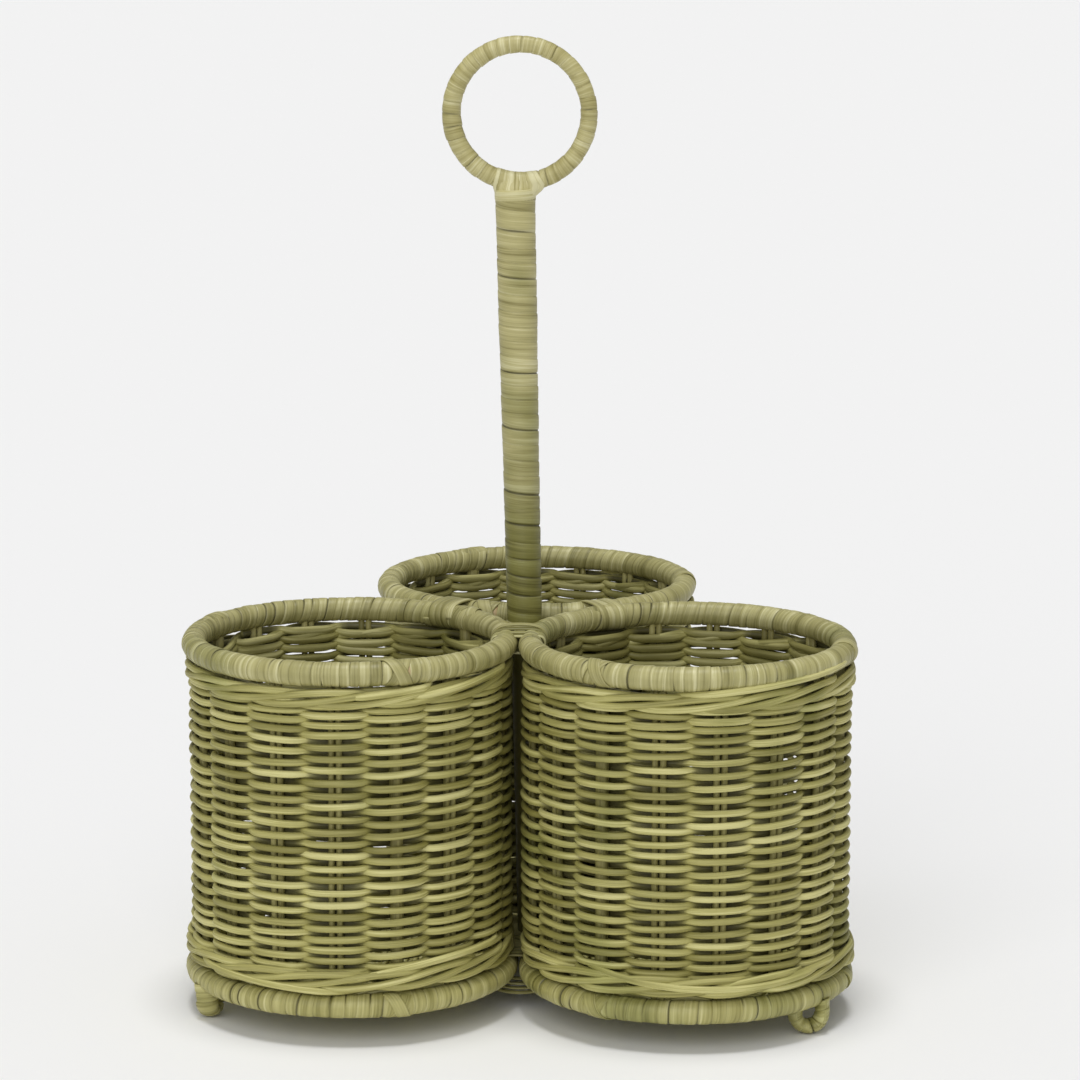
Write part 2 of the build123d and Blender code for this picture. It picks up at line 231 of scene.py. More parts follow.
# Gap at a shut seam, and what an open one adds; one edge of the strip lies over the next turn by a step
SEAM_GAP = 0.04 * MM
OPEN_GAP = 0.22 * MM
PEEL_STEP = 0.12 * MM
# Darkness of an open seam, and the shares of its darkness and depth that a shut one keeps
SEAM_DARK = 0.9
SHUT_DARK_SHARE = 0.12
SHUT_DEPTH_SHARE = 0.35
# How softly seams change from shut to open, and where round the line a turn leans most, in radians
SEAM_SOFTNESS = 0.3
LEAN_TURN = 0.6
# At a knot the turns part over this many wraps each way, and swell over this many; the cane shows where
# they part by more than a share
KNOT_PARTING = 1.1
KNOT_SWELLING = 1.8
KNOT_BARE_SHARE = 0.25
# Tone differs from turn to turn and along a turn, and the fibres' pattern jumps by this many wraps a turn
TURN_TONE = 0.16
ALONG_TONE = 0.1
GRAIN_JUMP = 2.7


def wound(spine, length, radius, wrap, seed, closed=False, start=0.0, front=0.0, flatten=0.5 * MM,
          lift=0.12 * MM, lean=0.3 * MM, open_share=0.4, knots=(), sides=24):
    """Peel wound round a line as one helical strip.

    spine(distance) gives the line's point, outward and side vectors. A point of the strip lies at
    distance W(s - a / 2 pi), where s counts the wraps, a is the angle round the line and W adds up the
    wraps' widths; so after a full turn a point meets the next wrap. Each turn lies a little higher or
    lower than the last and overlaps it by a step. Seams open and close along the strip: open_share of
    them show dark. Round the angle front the strip runs straighter across, by flatten. At a knot two
    turns part to show the cane, by a power of the cosine from the side that it faces.
    """
    count = max(2, round(length / wrap))
    widths = seed.uniform(*WRAP_WIDTH_SHARES, count)
    widths *= length / widths.sum()
    edges = np.concatenate([[0], np.cumsum(widths)])
    wraps = count if closed else count + 1
    turn = np.repeat(np.arange(wraps), len(WRAP_SHARES))[:, None]
    share = np.tile(WRAP_SHARES, wraps)[:, None]
    sink = np.tile(SEAM_SHARES, wraps)[:, None]
    angle = (2 * np.pi * np.arange(sides) / sides)[None, :]
    around = angle + start
    place = turn + share - angle / (2 * np.pi)
    strip = turn - angle / (2 * np.pi)
    if closed:
        whole = np.floor(place / count)
        distance = np.interp(place - whole * count, np.arange(count + 1), edges) + whole * length
    else:
        distance = np.interp(place, np.arange(count + 1), edges)
    period = count if closed else None
    room = np.ones(place.shape) if closed else np.clip(np.minimum(place, count - place), 0, 1)
    shown = 0.5 + drift(2 * place, seed, 0.5, 2 * count if closed else None)
    shown = np.clip((shown - 1 + open_share) / SEAM_SOFTNESS, 0, 1)
    shift = drift(place, seed, lean, period) * np.sin(angle + LEAN_TURN) + flatten * np.sin(around - front)
    shift = shift - np.sign(share - 0.5) * (sink == 1) * (SEAM_GAP + OPEN_GAP * shown ** 2)
    seam = SEAM_DARK * sink * (SHUT_DARK_SHARE + (1 - SHUT_DARK_SHARE) * shown)
    deep = SHUT_DEPTH_SHARE + (1 - SHUT_DEPTH_SHARE) * shown
    high = PEEL_HEIGHT * (1 - sink * deep) + PEEL_STEP * (share - 0.5) + drift(strip, seed, lift, period)
    bare = np.zeros(place.shape)
    for knot in knots:
        middle = np.interp(knot["at"], edges, np.arange(count + 1))
        seam_turn = round(middle + 0.5)
        away = turn + share - seam_turn
        side = np.where(turn >= seam_turn, 1, -1)
        parting = np.clip(np.cos(around - knot["faces"]), 0, 1) ** 1.3
        shift = shift + side * knot["width"] / 2 * parting * np.exp(-np.abs(away) / KNOT_PARTING)
        high = high + knot["swell"] * np.exp(-((away / KNOT_SWELLING) ** 2))
        edge = (away == 0) * (parting > KNOT_BARE_SHARE)
        bare = np.maximum(bare, edge)
        seam = seam * (1 - edge)
    point, outward, side = spine(distance + shift * room)
    thick = radius(distance) if callable(radius) else radius
    reach = (thick + high)[..., None]
    points = point + reach * (np.cos(around)[..., None] * outward + np.sin(around)[..., None] * side)
    tone = 0.5 + drift(strip, seed, TURN_TONE, period)
    tone = tone + drift(3 * place, seed, ALONG_TONE, 3 * count if closed else None)
    girth = 2 * np.pi * np.mean(thick)
    grain = np.stack([-strip * girth, (share + GRAIN_JUMP * turn) * wrap + 0 * place, 0 * place], -1)
    shade = np.stack([tone, seam, bare], -1)
    faces = grid_faces(len(turn), sides, wrap_rows=closed, slip=len(WRAP_SHARES))
    sheets = [(points.reshape(-1, 3), faces, grain.reshape(-1, 3), shade.reshape(-1, 3))]
    if not closed:
        sheets.append(cap(points[0], grain[0], shade[0], False))
        sheets.append(cap(points[-1], grain[-1], shade[-1], True))
    return sheets


def ring_spine(centre, radius, first, second, start_angle=0.0):
    """A circle round a centre, from the direction first towards second, by distance along it."""
    first, second = np.array(first), np.array(second)
    side = np.cross(second, first)

    def spine(distance):
        angle = (distance / radius + start_angle)[..., None]
        outward = np.cos(angle) * first + np.sin(angle) * second
        return centre + radius * outward, outward, np.broadcast_to(side, outward.shape)

    return spine


def line_spine(start, direction, outward):
    """A straight line by distance from its start."""
    side = np.cross(direction, outward)

    def spine(distance):
        point = start + distance[..., None] * direction
        return point, np.broadcast_to(outward, point.shape), np.broadcast_to(side, point.shape)

    return spine


# Materials


def linear(hex_colour):
    """An sRGB hex colour as linear red, green, blue and alpha."""
    parts = [int(hex_colour[k:k + 2], 16) / 255 for k in (1, 3, 5)]
    return [p / 12.92 if p <= 0.04045 else ((p + 0.055) / 1.055) ** 2.4 for p in parts] + [1.0]


def add(tree, kind, settings=None, **inputs):
    """Adds a node; settings are its own values, inputs are values or other nodes' outputs by socket."""
    made = tree.nodes.new(kind)
    for key, value in (settings or {}).items():
        setattr(made, key, value)
    for key, value in inputs.items():
        socket = made.inputs[int(key[1:])] if key[1:].isdigit() else made.inputs[key.replace("_", " ")]
        if isinstance(value, bpy.types.NodeSocket):
            tree.links.new(value, socket)
        else:
            socket.default_value = value
    return made


def ramp(tree, factor, stops):
    """Colours spread over a factor, as pairs of place and hex colour."""
    made = add(tree, "ShaderNodeValToRGB", i0=factor)
    band = made.color_ramp.elements
    while len(band) < len(stops):
        band.new(0.5)
    for element, (place, colour) in zip(band, stops):
        element.position = place
        element.color = linear(colour)
    return made.outputs[0]


# The colours' places between the darkest fibre and the palest
FIBRE_STOPS = (0.3, 0.43, 0.56, 0.7)
# Long streaks, in fibre lengths and widths
STREAK_LENGTH = 4
STREAK_WIDTH = 3.5
# Blotches where the dye took more strongly: their size, the noise over which they grow, their strength
BLOTCH_SIZE = 38 * MM
BLOTCH_EDGES = (0.52, 0.72)
BLOTCH_STRENGTH = 0.6
LOW_GREEN_STRENGTH = 0.85
# Colour towards which seams and painted shade darken, and the share they reach at their fullest
SEAM_AND_SHADE_COLOUR = "#2C280B"
SEAM_AND_SHADE_STRENGTH = 0.82
BUMP_STRENGTH = 0.6
# Roughness added at the darkest fibre and taken off at the palest
DARK_DULLER = 0.08
PALE_GLOSSIER = 0.06
# The colour by which most pieces darken where the dye took more, and the undyed cane under the peel
SAGE_DYE = "#B4BC8E"
BARE_CANE = "#B7A074"


def rattan(name, colours, green, bare, fibre_width, fibre_length, roughness, fibre_bump, low_green=None):
    """Dyed rattan: fibres run along the grain, the dye lies unevenly, and seams and painted shade are dark.

    colours run from the darkest fibre to the palest. green multiplies them where the dye took more
    strongly, and bare is the undyed cane that shows where two turns of peel part. low_green is a band of
    heights over which a stronger green fades upward, as on the post. Lengths are in metres.
    """
    material = bpy.data.materials.new(name)
    material.use_nodes = True
    tree = material.node_tree
    tree.nodes.clear()
    grain = add(tree, "ShaderNodeAttribute", {"attribute_name": "grain"}).outputs["Vector"]
    shade = add(tree, "ShaderNodeAttribute", {"attribute_name": "shade"}).outputs["Vector"]
    parts = add(tree, "ShaderNodeSeparateXYZ", i0=shade).outputs
    where = add(tree, "ShaderNodeTexCoord").outputs["Object"]
    fine = add(tree, "ShaderNodeVectorMath", {"operation": "MULTIPLY"}, i0=grain,
               i1=(1 / fibre_length, 1 / fibre_width, 1 / fibre_width)).outputs[0]
    fibre = add(tree, "ShaderNodeTexNoise", Vector=fine, Scale=1.0, Detail=2.5, Roughness=0.6).outputs[0]
    streak_length, streak_width = STREAK_LENGTH * fibre_length, STREAK_WIDTH * fibre_width
    long = add(tree, "ShaderNodeVectorMath", {"operation": "MULTIPLY"}, i0=grain,
               i1=(1 / streak_length, 1 / streak_width, 1 / streak_width)).outputs[0]
    streak = add(tree, "ShaderNodeTexNoise", Vector=long, Scale=1.0, Detail=1.0).outputs[0]
    mixed = add(tree, "ShaderNodeMath", {"operation": "ADD"}, i0=fibre, i1=streak).outputs[0]
    halved = add(tree, "ShaderNodeMath", {"operation": "MULTIPLY"}, i0=mixed, i1=0.5).outputs[0]
    toned = add(tree, "ShaderNodeMath", {"operation": "MULTIPLY_ADD"}, i0=parts[0], i1=0.5,
                i2=-0.25).outputs[0]
    factor = add(tree, "ShaderNodeMath", {"operation": "ADD"}, i0=halved, i1=toned).outputs[0]
    colour = ramp(tree, factor, list(zip(FIBRE_STOPS, colours)))
    blotch = add(tree, "ShaderNodeTexNoise", Vector=where, Scale=1 / BLOTCH_SIZE, Detail=2.0).outputs[0]
    wet = add(tree, "ShaderNodeMapRange", {"interpolation_type": "SMOOTHSTEP"}, i0=blotch,
              i1=BLOTCH_EDGES[0], i2=BLOTCH_EDGES[1], i3=0.0, i4=BLOTCH_STRENGTH).outputs[0]
    if low_green:
        height = add(tree, "ShaderNodeSeparateXYZ", i0=where).outputs[2]
        rise = add(tree, "ShaderNodeMapRange", {"interpolation_type": "SMOOTHSTEP"}, i0=height,
                   i1=low_green[0], i2=low_green[1], i3=LOW_GREEN_STRENGTH, i4=0.0).outputs[0]
        wet = add(tree, "ShaderNodeMath", {"operation": "MAXIMUM"}, i0=wet, i1=rise).outputs[0]
    colour = add(tree, "ShaderNodeMix", {"data_type": "RGBA", "blend_type": "MULTIPLY"}, i0=wet, i6=colour,
                 i7=linear(green)).outputs[2]
    colour = add(tree, "ShaderNodeMix", {"data_type": "RGBA"}, i0=parts[2], i6=colour,
                 i7=linear(bare)).outputs[2]
    # Darkness from the shade attribute: real seams and painted shade alike
    dark = add(tree, "ShaderNodeMath", {"operation": "MULTIPLY"}, i0=parts[1], i1=SEAM_AND_SHADE_STRENGTH).outputs[0]
    colour = add(tree, "ShaderNodeMix", {"data_type": "RGBA"}, i0=dark, i6=colour,
                 i7=linear(SEAM_AND_SHADE_COLOUR)).outputs[2]
    rough = add(tree, "ShaderNodeMapRange", i0=fibre, i1=FIBRE_STOPS[0], i2=FIBRE_STOPS[-1],
                i3=roughness + DARK_DULLER, i4=roughness - PALE_GLOSSIER).outputs[0]
    bump = add(tree, "ShaderNodeBump", Strength=BUMP_STRENGTH, Distance=fibre_bump,
               Height=halved).outputs[0]
    shader = add(tree, "ShaderNodeBsdfPrincipled", Base_Color=colour, Roughness=rough, Normal=bump, IOR=1.5)
    add(tree, "ShaderNodeOutputMaterial", Surface=shader.outputs[0])
    return material


# Round reed, scraped smooth and dyed: long pale fibres, dull, darker in blotches of dye; painted shade in
# crevices
REED = rattan("sage_dyed_round_reed", ("#878142", "#9F9959", "#B2AC68", "#D2CC8C"), SAGE_DYE, "#B59C77",
              fibre_width=0.35 * MM, fibre_length=16 * MM, roughness=0.56, fibre_bump=0.05 * MM)
# Stakes and uprights: the same reed painted a shade darker, as the shade they lie in behind the weave
SHADED_STAKE = rattan("sage_dyed_stake_reed_shaded", ("#6F6934", "#878048", "#999258", "#A59E62"), SAGE_DYE, "#A58F6B",
               fibre_width=0.35 * MM, fibre_length=18 * MM, roughness=0.58, fibre_bump=0.05 * MM)
# Split peel, the cane's skin: flat, fine straight fibres across the hoop, a faint satin
PEEL = rattan("sage_dyed_rattan_peel", ("#7A7541", "#9C9660", "#B0AA73", "#CDC897"), SAGE_DYE, BARE_CANE,
              fibre_width=0.6 * MM, fibre_length=22 * MM, roughness=0.46, fibre_bump=0.13 * MM)
# The same peel lower down, where the dye took more green
BASE_PEEL = rattan("green_dyed_rattan_peel", ("#7C773C", "#A29C5E", "#B5AF71", "#CFCA92"), "#B0BA8E",
                   BARE_CANE, fibre_width=0.6 * MM, fibre_length=22 * MM, roughness=0.48,
                   fibre_bump=0.13 * MM)
# Post binding: pale at the top, and greener just above the baskets
POST_PEEL = rattan("sage_post_peel", ("#8A824C", "#AFA770", "#C0B881", "#D9D3A4"), "#A8AD74", BARE_CANE,
                   fibre_width=0.45 * MM, fibre_length=18 * MM, roughness=0.48, fibre_bump=0.13 * MM,
                   low_green=(150 * MM, 196 * MM))
# Ring binding: the palest peel, straw in colour
RING_PEEL = rattan("straw_ring_peel", ("#8A8147", "#ABA26A", "#BDB57F", "#D7D1A4"), "#D0CDAA", BARE_CANE,
                   fibre_width=0.5 * MM, fibre_length=20 * MM, roughness=0.46, fibre_bump=0.1 * MM)


# Baskets


def basket_sizes(name):
    """A basket's places and sizes, read off the nodes of the frame."""
    low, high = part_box(f"{name}_rim_hoop")
    cane = (high.z - low.z) / 2
    wrap_low, wrap_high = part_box(f"{name}_rim_binding")
    wale_low, wale_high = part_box(f"{name}_top_wale")
    base_low, base_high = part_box(f"{name}_base_hoop")
    return {
        "name": name,
        "centre": np.array([(low.x + high.x) / 2, (low.y + high.y) / 2, 0.0]),
        "hoop_radius": (high.x - low.x) / 2 - cane,
        "wrap": (wrap_high.z - wrap_low.z) / 2,
        "rim": (low.z + high.z) / 2,
        "base": (base_low.z + base_high.z) / 2,
        "outside": (wale_high.x - wale_low.x) / 2,
    }


# The circle of stakes lies this far inside the wales
STAKE_INSET = 3.5 * MM
# Rise of one weaver in a turn of the basket, at shares of the wall's height
ROW_PLACES = (0.0, 0.12, 0.27, 0.78, 0.87, 1.0)
ROW_PITCHES = (3.5 * MM, 3.6 * MM, 4.1 * MM, 4.15 * MM, 3.3 * MM, 3.1 * MM)
# The right wall swells towards the left basket: how far, its plan angle and its width in degrees
BELLY = 1.7 * MM
BELLY_ANGLES = {"right": 180}
BELLY_WIDTH = 35
# How flat a weaver's crests are; within this height of the wales they lie closer in, down to this share
WEAVE_FLATNESS = 1.9
CLOSE_HEIGHT = 4 * MM
CLOSE_SHARE = 0.35
# How far a weaver wanders in or out, up or down from column to column, and slowly over several
WANDER_OUT = 0.2 * MM
WANDER_UP = 0.32 * MM
WANDER_SLOW = 0.3 * MM
SLOW_COLUMNS = 9
# A weaver runs lower where it is inside, and its thickness varies by a share over some columns
INSIDE_DIP = 0.8 * MM
THICK_SHARE = 0.09
THICK_COLUMNS = 5
# Tone of a weaver: its mean, how far it wanders over a few columns, and how far over about a turn
WEAVER_TONE = 0.52
QUICK_TONE = 0.3
QUICK_COLUMNS = 2.3
TURNING_TONE = 0.25
TURNING_COLUMNS = 17
# Near its neighbours a weaver is darker by painted shade, and a wale gives way: widths in degrees, and how
# much
SHADE_WIDTH = 20
SHADE_DEPTH = 0.55
YIELD_WIDTH = 22
WALE_YIELD_SHARE = 0.8
# Wales: the number of rods in a twist, how far each rises and falls, and how far it bulges
WALE_RODS = 4
TOP_WALE = {"spread": 2.1 * MM, "bulge": 0.9 * MM}
BASE_WALE = {"spread": 2.4 * MM, "bulge": 1.7 * MM}
# How far a rod wanders in or out and up or down, its mean tone, and how far that wanders
WALE_OUT = 0.12 * MM
WALE_UP = 0.3 * MM
WALE_TONE = 0.55
WALE_TONE_WANDER = 0.25


def turned_from(angle, degrees):
    """How far a plan angle in radians lies from one in degrees: degrees from -180 to 180."""
    return (np.degrees(angle) - degrees + 180) % 360 - 180


def column_angle(basket, column):
    """Plan angle of a column of stakes, in radians; the column may be a fraction."""
    return np.radians(COLUMN_PHASE[basket["name"]] + column * 360 / COLUMNS)


def flat_wave(place, flatness):
    """A wave of period 2 between 1 and -1: the hyperbolic tangent of a cosine, so its crests are flat."""
    return np.tanh(flatness * np.cos(np.pi * place)) / math.tanh(flatness)


def column_reach(basket, column):
    """How far a weaver's middle stands off the circle of stakes at a column, eased between columns."""
    stout = np.isin(np.arange(COLUMNS), UPRIGHT_COLUMNS[basket["name"]])
    reach = np.where(stout, UPRIGHT_DEPTH, STAKE_RADIUS) + REED_DEPTH
    low = np.floor(column).astype(int)
    share = (1 - np.cos(np.pi * (column - low))) / 2
    return reach[low % COLUMNS] * (1 - share) + reach[(low + 1) % COLUMNS] * share


def belly(basket, angle, height):
    """How far a wall swells towards its neighbour: a bell round it, flat in height, zero at the hoops."""
    if basket["name"] not in BELLY_ANGLES:
        return 0 * angle * height
    away = turned_from(angle, BELLY_ANGLES[basket["name"]])
    share = (height - basket["base"]) / (basket["rim"] - basket["base"])
    return BELLY * np.exp(-((away / BELLY_WIDTH) ** 2)) * np.clip(1 - (2 * share - 1) ** 4, 0, 1)


def contact_turns(basket, angle):
    """How far a plan angle lies from each of the two lines where a basket touches its neighbours."""
    return [turned_from(angle, BASKET_ANGLES[basket["name"]] + turn) for turn in CONTACT_TURNS]


def near_contact(basket, angle, width):
    """Closeness to the lines where a basket touches its neighbours: a bell of that width on each."""
    return sum(np.exp(-((away / width) ** 2)) for away in contact_turns(basket, angle))


def on_wall(basket, column, offset, height):
    """Points at a column, an offset from the circle of stakes and a height, with their outward vectors."""
    angle = column_angle(basket, column)
    outward = np.stack([np.cos(angle), np.sin(angle), np.zeros(angle.shape)], -1)
    circle = basket["outside"] - STAKE_INSET + belly(basket, angle, height)
    points = basket["centre"] + (circle + offset)[:, None] * outward
    points[:, 2] = height
    return points, outward


def weaver(basket, first, sign, seed):
    """One of the two weavers of the wall, which chase each other up it.

    Its offset is the stakes' reach times a wave with one crest every two columns, so it passes over one
    column and behind the next. Its height is the one at which the rows' pitches, added up from below,
    come to its number of turns. Its first and last rows lie closer, under the wales.
    """
    low = basket["base"] + basket["wrap"] + REED_CREST
    high = basket["rim"] - basket["wrap"] - REED_CREST
    heights = np.linspace(low, high, 400)
    pitches = np.interp((heights - low) / (high - low), ROW_PLACES, ROW_PITCHES)
    turns = np.concatenate([[0], np.cumsum(np.diff(heights) / pitches[1:])])
    column = np.arange(first, first + COLUMNS * turns[-1], 1 / STEPS_PER_COLUMN)
    height = np.interp((column - first) / COLUMNS, turns, heights)
    wave = sign * flat_wave(column, WEAVE_FLATNESS)
    close = np.clip(np.minimum(height - low, high - height) / CLOSE_HEIGHT, CLOSE_SHARE, 1)
    offset = column_reach(basket, column) * wave * np.where(wave > 0, close, 1)
    offset = offset + drift(column, seed, WANDER_OUT)
    height = height + drift(column + 0.5, seed, WANDER_UP)
    height = height + drift(column, seed, WANDER_SLOW, span=SLOW_COLUMNS)
    height = height - INSIDE_DIP * np.clip(-wave, 0, 1)
    centres, outward = on_wall(basket, column, offset, height)
    thick = 1 + drift(column, seed, THICK_SHARE, span=THICK_COLUMNS)
    crest = np.where(wave > 0, REED_CREST, REED_INSIDE)
    tall = REED_WAIST + (crest - REED_WAIST) * np.abs(wave) ** 1.5
    tone = WEAVER_TONE + drift(column, seed, QUICK_TONE, span=QUICK_COLUMNS)
    tone = tone + drift(column, seed, TURNING_TONE, span=TURNING_COLUMNS)
    # Painted shade in the crevices where the baskets touch
    tone = tone - SHADE_DEPTH * near_contact(basket, column_angle(basket, column), SHADE_WIDTH)
    return strand(centres, outward, REED_DEPTH * thick, tall * thick, seed, sides=10, tone=tone, swing=wave)


def waling(basket, middle, seed, spread, bulge):
    """Waled rods: each passes over three columns and behind one, and slants upward as it goes.

    The offset is full outside and dips to full inside within one column of the inside column; the height
    follows minus the sine of the rod's place in its period, which has as many columns as there are rods.
    """
    sheets = []
    for rod in range(WALE_RODS):
        column = np.arange(0, COLUMNS, 1 / STEPS_PER_COLUMN)
        share = ((column - rod) / WALE_RODS) % 1
        near = np.minimum(share, 1 - share) * WALE_RODS
        swing = -np.cos(np.pi * np.minimum(near, 1))
        close = np.clip(near_contact(basket, column_angle(basket, column), YIELD_WIDTH), 0, 1)
        room = 1 - WALE_YIELD_SHARE * close
        offset = column_reach(basket, column) * swing + bulge * room * (swing + 1) / 2
        offset = offset + drift(column, seed, WALE_OUT, COLUMNS)
        height = middle - spread * np.sin(2 * np.pi * share) + drift(column, seed, WALE_UP, COLUMNS)
        centres, outward = on_wall(basket, column, offset, height)
        tone = WALE_TONE + drift(column, seed, WALE_TONE_WANDER, COLUMNS)
        sheets += strand(centres, outward, REED_DEPTH, REED_CREST, seed, closed=True, tone=tone,
                         swing=swing, sides=10)
    return sheets


# Ends of reeds that run along outside the wales: the plan angles in degrees and heights they pass
TAILS = {
    "back": (((30, 122 * MM), (95, 117 * MM)), ((70, 27 * MM), (150, 20 * MM))),
    "left": (((352, 122 * MM), (290.7, 116.4 * MM)), ((307.3, 120.5 * MM), (273.4, 117.6 * MM)),
             ((347, 28 * MM), (299.2, 26.9 * MM), (262.8, 20.1 * MM)),
             ((203, 22.5 * MM), (280, 18.5 * MM))),
    "right": (((355, 125 * MM), (296.7, 122 * MM), (264.1, 119.4 * MM)),
              ((338.2, 26.5 * MM), (276.5, 22.2 * MM), (223.9, 30 * MM))),
}
# A tail's points, how far it bulges and wanders, its tone, how far that wanders, and its half depth
TAIL_POINTS = 60
TAIL_BULGE = 1.0 * MM
TAIL_WANDER = 0.15 * MM
TAIL_TONE = 0.66
TAIL_TONE_WANDER = 0.2
TAIL_DEPTH = 0.95 * REED_DEPTH
# The ends of a tail dive behind the wale over a share of its length, and grow slimmer by a share
TAIL_DIVE = 5.0 * MM
TAIL_TUCK_SHARE = 0.2
TAIL_SLIM_SHARE = 0.4


def tails(basket, seed):
    """Ends of reeds on the outside: heights on a polynomial through the given ones, ends tucked in."""
    sheets = []
    for path in TAILS[basket["name"]]:
        turned, heights = np.array(path).T
        curve = np.polyfit(turned, heights, len(path) - 1)
        way = np.linspace(turned[0], turned[-1], TAIL_POINTS)
        share = np.linspace(0, 1, TAIL_POINTS)
        tuck = np.clip(1 - np.minimum(share, 1 - share) / TAIL_TUCK_SHARE, 0, 1) ** 1.6
        column = (way - COLUMN_PHASE[basket["name"]]) * COLUMNS / 360
        high = np.polyval(curve, way)
        room = 1 - np.clip(near_contact(basket, np.radians(way), YIELD_WIDTH), 0, 1)
        offset = STAKE_INSET + TAIL_BULGE * room - TAIL_DIVE * tuck + drift(share * 5, seed, TAIL_WANDER)
        centres, outward = on_wall(basket, column, offset, high)
        tone = TAIL_TONE + drift(share * 4, seed, TAIL_TONE_WANDER)
        slim = 1 - TAIL_SLIM_SHARE * tuck
        sheets += strand(centres, outward, TAIL_DEPTH * slim, REED_CREST * slim, seed, tone=tone, sides=10)
    return sheets


# Stakes sink this far into the hoops' bindings; within some degrees of a lashing they end short instead
STAKE_SINK = 0.7 * MM
STAKE_SHORT = 5.6 * MM
LASHED_WIDTH = 12
# A stake or upright sways by this much over this length
SWAY = 0.15 * MM
SWAY_LENGTH = 25 * MM
UPRIGHT_POINTS = 30


def column_span(basket, column):
    """Lowest and highest point of a column, shorter beside a lashing."""
    beside = min(abs(away) for away in contact_turns(basket, column_angle(basket, column))) < LASHED_WIDTH
    sink = -STAKE_SHORT if beside else STAKE_SINK
    return basket["base"] + basket["wrap"] - sink, basket["rim"] - basket["wrap"] + sink


def upright_line(basket, column, side, seed):
    """A cane that stands on a column, side of its middle, with a slight bend."""
    low, high = column_span(basket, column)
    height = np.linspace(low, high, UPRIGHT_POINTS)
    angle = column_angle(basket, column)
    outward = np.array([math.cos(angle), math.sin(angle), 0.0])
    across = np.array([-math.sin(angle), math.cos(angle), 0.0])
    circle = (basket["outside"] - STAKE_INSET + belly(basket, angle, height))[:, None]
    sway = side + drift(height, seed, SWAY, span=SWAY_LENGTH)
    points = basket["centre"] + circle * outward + sway[:, None] * across
    points[:, 2] = height
    return points, np.broadcast_to(outward, points.shape)


def stakes(basket, seed):
    """Thin canes in pairs on the columns that have no upright."""
    sheets = []
    for column in range(COLUMNS):
        if column not in UPRIGHT_COLUMNS[basket["name"]]:
            for side in (-STAKE_SPREAD / 2, STAKE_SPREAD / 2):
                points, outward = upright_line(basket, column, side, seed)
                sheets += strand(points, outward, STAKE_RADIUS, STAKE_RADIUS, seed)
    return sheets


def uprights(basket, seed):
    """Stout canes, a little flattened towards the weave."""
    sheets = []
    for column in UPRIGHT_COLUMNS[basket["name"]]:
        points, outward = upright_line(basket, column, 0.0, seed)
        sheets += strand(points, outward, UPRIGHT_DEPTH, UPRIGHT_RADIUS, seed, sides=12)
    return sheets


# How far the turns part and swell at a knot, and its degrees of turn upward at the rim, downward at the base
KNOT_WIDTH = 1.8 * MM
KNOT_SWELL = 0.2 * MM
KNOT_FACING = 25
# Depth of the peel's inner side under the binding's surface, at the rim and at the base
RIM_SINK = 0.4 * MM
BASE_SINK = 0.5 * MM
# Strips that cross over a knot: half their slant, half width, half thickness, and degrees round the hoop
CROSS_SLANT = 4.2 * MM
CROSS_HALF = 2.2 * MM
CROSS_THICK = 0.3 * MM
CROSS_TURN = 125
CROSS_POINTS = 30
# Height of the crossing strips over the peel's inner side, and what the upper one adds and the lower loses
CROSS_HEIGHT = 0.55 * MM
CROSS_STEP = 0.12 * MM
# How far their ends sink in, how far each may stray along the hoop, and the upper one's paler tone
CROSS_TUCK = 1.0 * MM
CROSS_STRAY = 0.6 * MM
CROSS_TONE = 0.45
CROSS_TONE_STEP = 0.08


def hoop(basket, height, wrap, seed, open_share):
    """A wound hoop; at each upright its turns part a little and two strips cross over it.

    A crossing strip runs along the hoop in step with its turn round it, and its ends sink with the sixth
    power of that turn.
    """
    circle = basket["hoop_radius"]
    upper = height > (basket["rim"] + basket["base"]) / 2
    faces = math.radians(-KNOT_FACING if upper else KNOT_FACING)
    knots = []
    for column in UPRIGHT_COLUMNS[basket["name"]]:
        at = column_angle(basket, column) % (2 * math.pi) * circle
        knots.append({"at": at, "width": KNOT_WIDTH, "swell": KNOT_SWELL, "faces": faces})
    centre = basket["centre"] + np.array([0, 0, height])
    spine = ring_spine(centre, circle, (1, 0, 0), (0, 1, 0))
    start = -math.pi / 2 if upper else math.pi / 2
    thick = basket["wrap"] - (RIM_SINK if upper else BASE_SINK)
    sheets = wound(spine, 2 * math.pi * circle, thick, wrap, seed, closed=True,
                   start=start, knots=knots, open_share=open_share)
    t = np.linspace(-1, 1, CROSS_POINTS)
    for knot in knots:
        for slant in (-1, 1):
            around = (knot["faces"] + t * math.radians(CROSS_TURN))[:, None]
            stray = seed.uniform(-1, 1) * CROSS_STRAY
            point, outward, side = spine(knot["at"] + slant * CROSS_SLANT * t + stray)
            facing = np.cos(around) * outward + np.sin(around) * side
            reach = thick + CROSS_HEIGHT + CROSS_STEP * slant - CROSS_TUCK * np.abs(t)[:, None] ** 6
            sheets += strand(point + reach * facing, facing, CROSS_THICK, CROSS_HALF, seed, sides=12,
                             squareness=STRIP_SQUARENESS, tone=CROSS_TONE + CROSS_TONE_STEP * slant)
    return sheets


# Floor: its spokes, the rise of one weaver's spiral in a turn, and where it starts and ends
FLOOR_SPOKES = 16
FLOOR_PITCH = 3.2 * MM
FLOOR_START = 1.2 * MM
FLOOR_END = 49.0 * MM
SPOKE_END = 49.4 * MM
# The spokes start at the edge of the close-wound middle, and the spiral's waves grow over this length
FLOOR_HEART = 8 * MM
FLOOR_GROWTH = 4 * MM
# A floor reed is broader than deep by this factor, and wanders up or down
FLOOR_BROADER = 1.25
FLOOR_WANDER = 0.1 * MM
STEPS_PER_SPOKE = 8
SPOKE_POINTS = 12


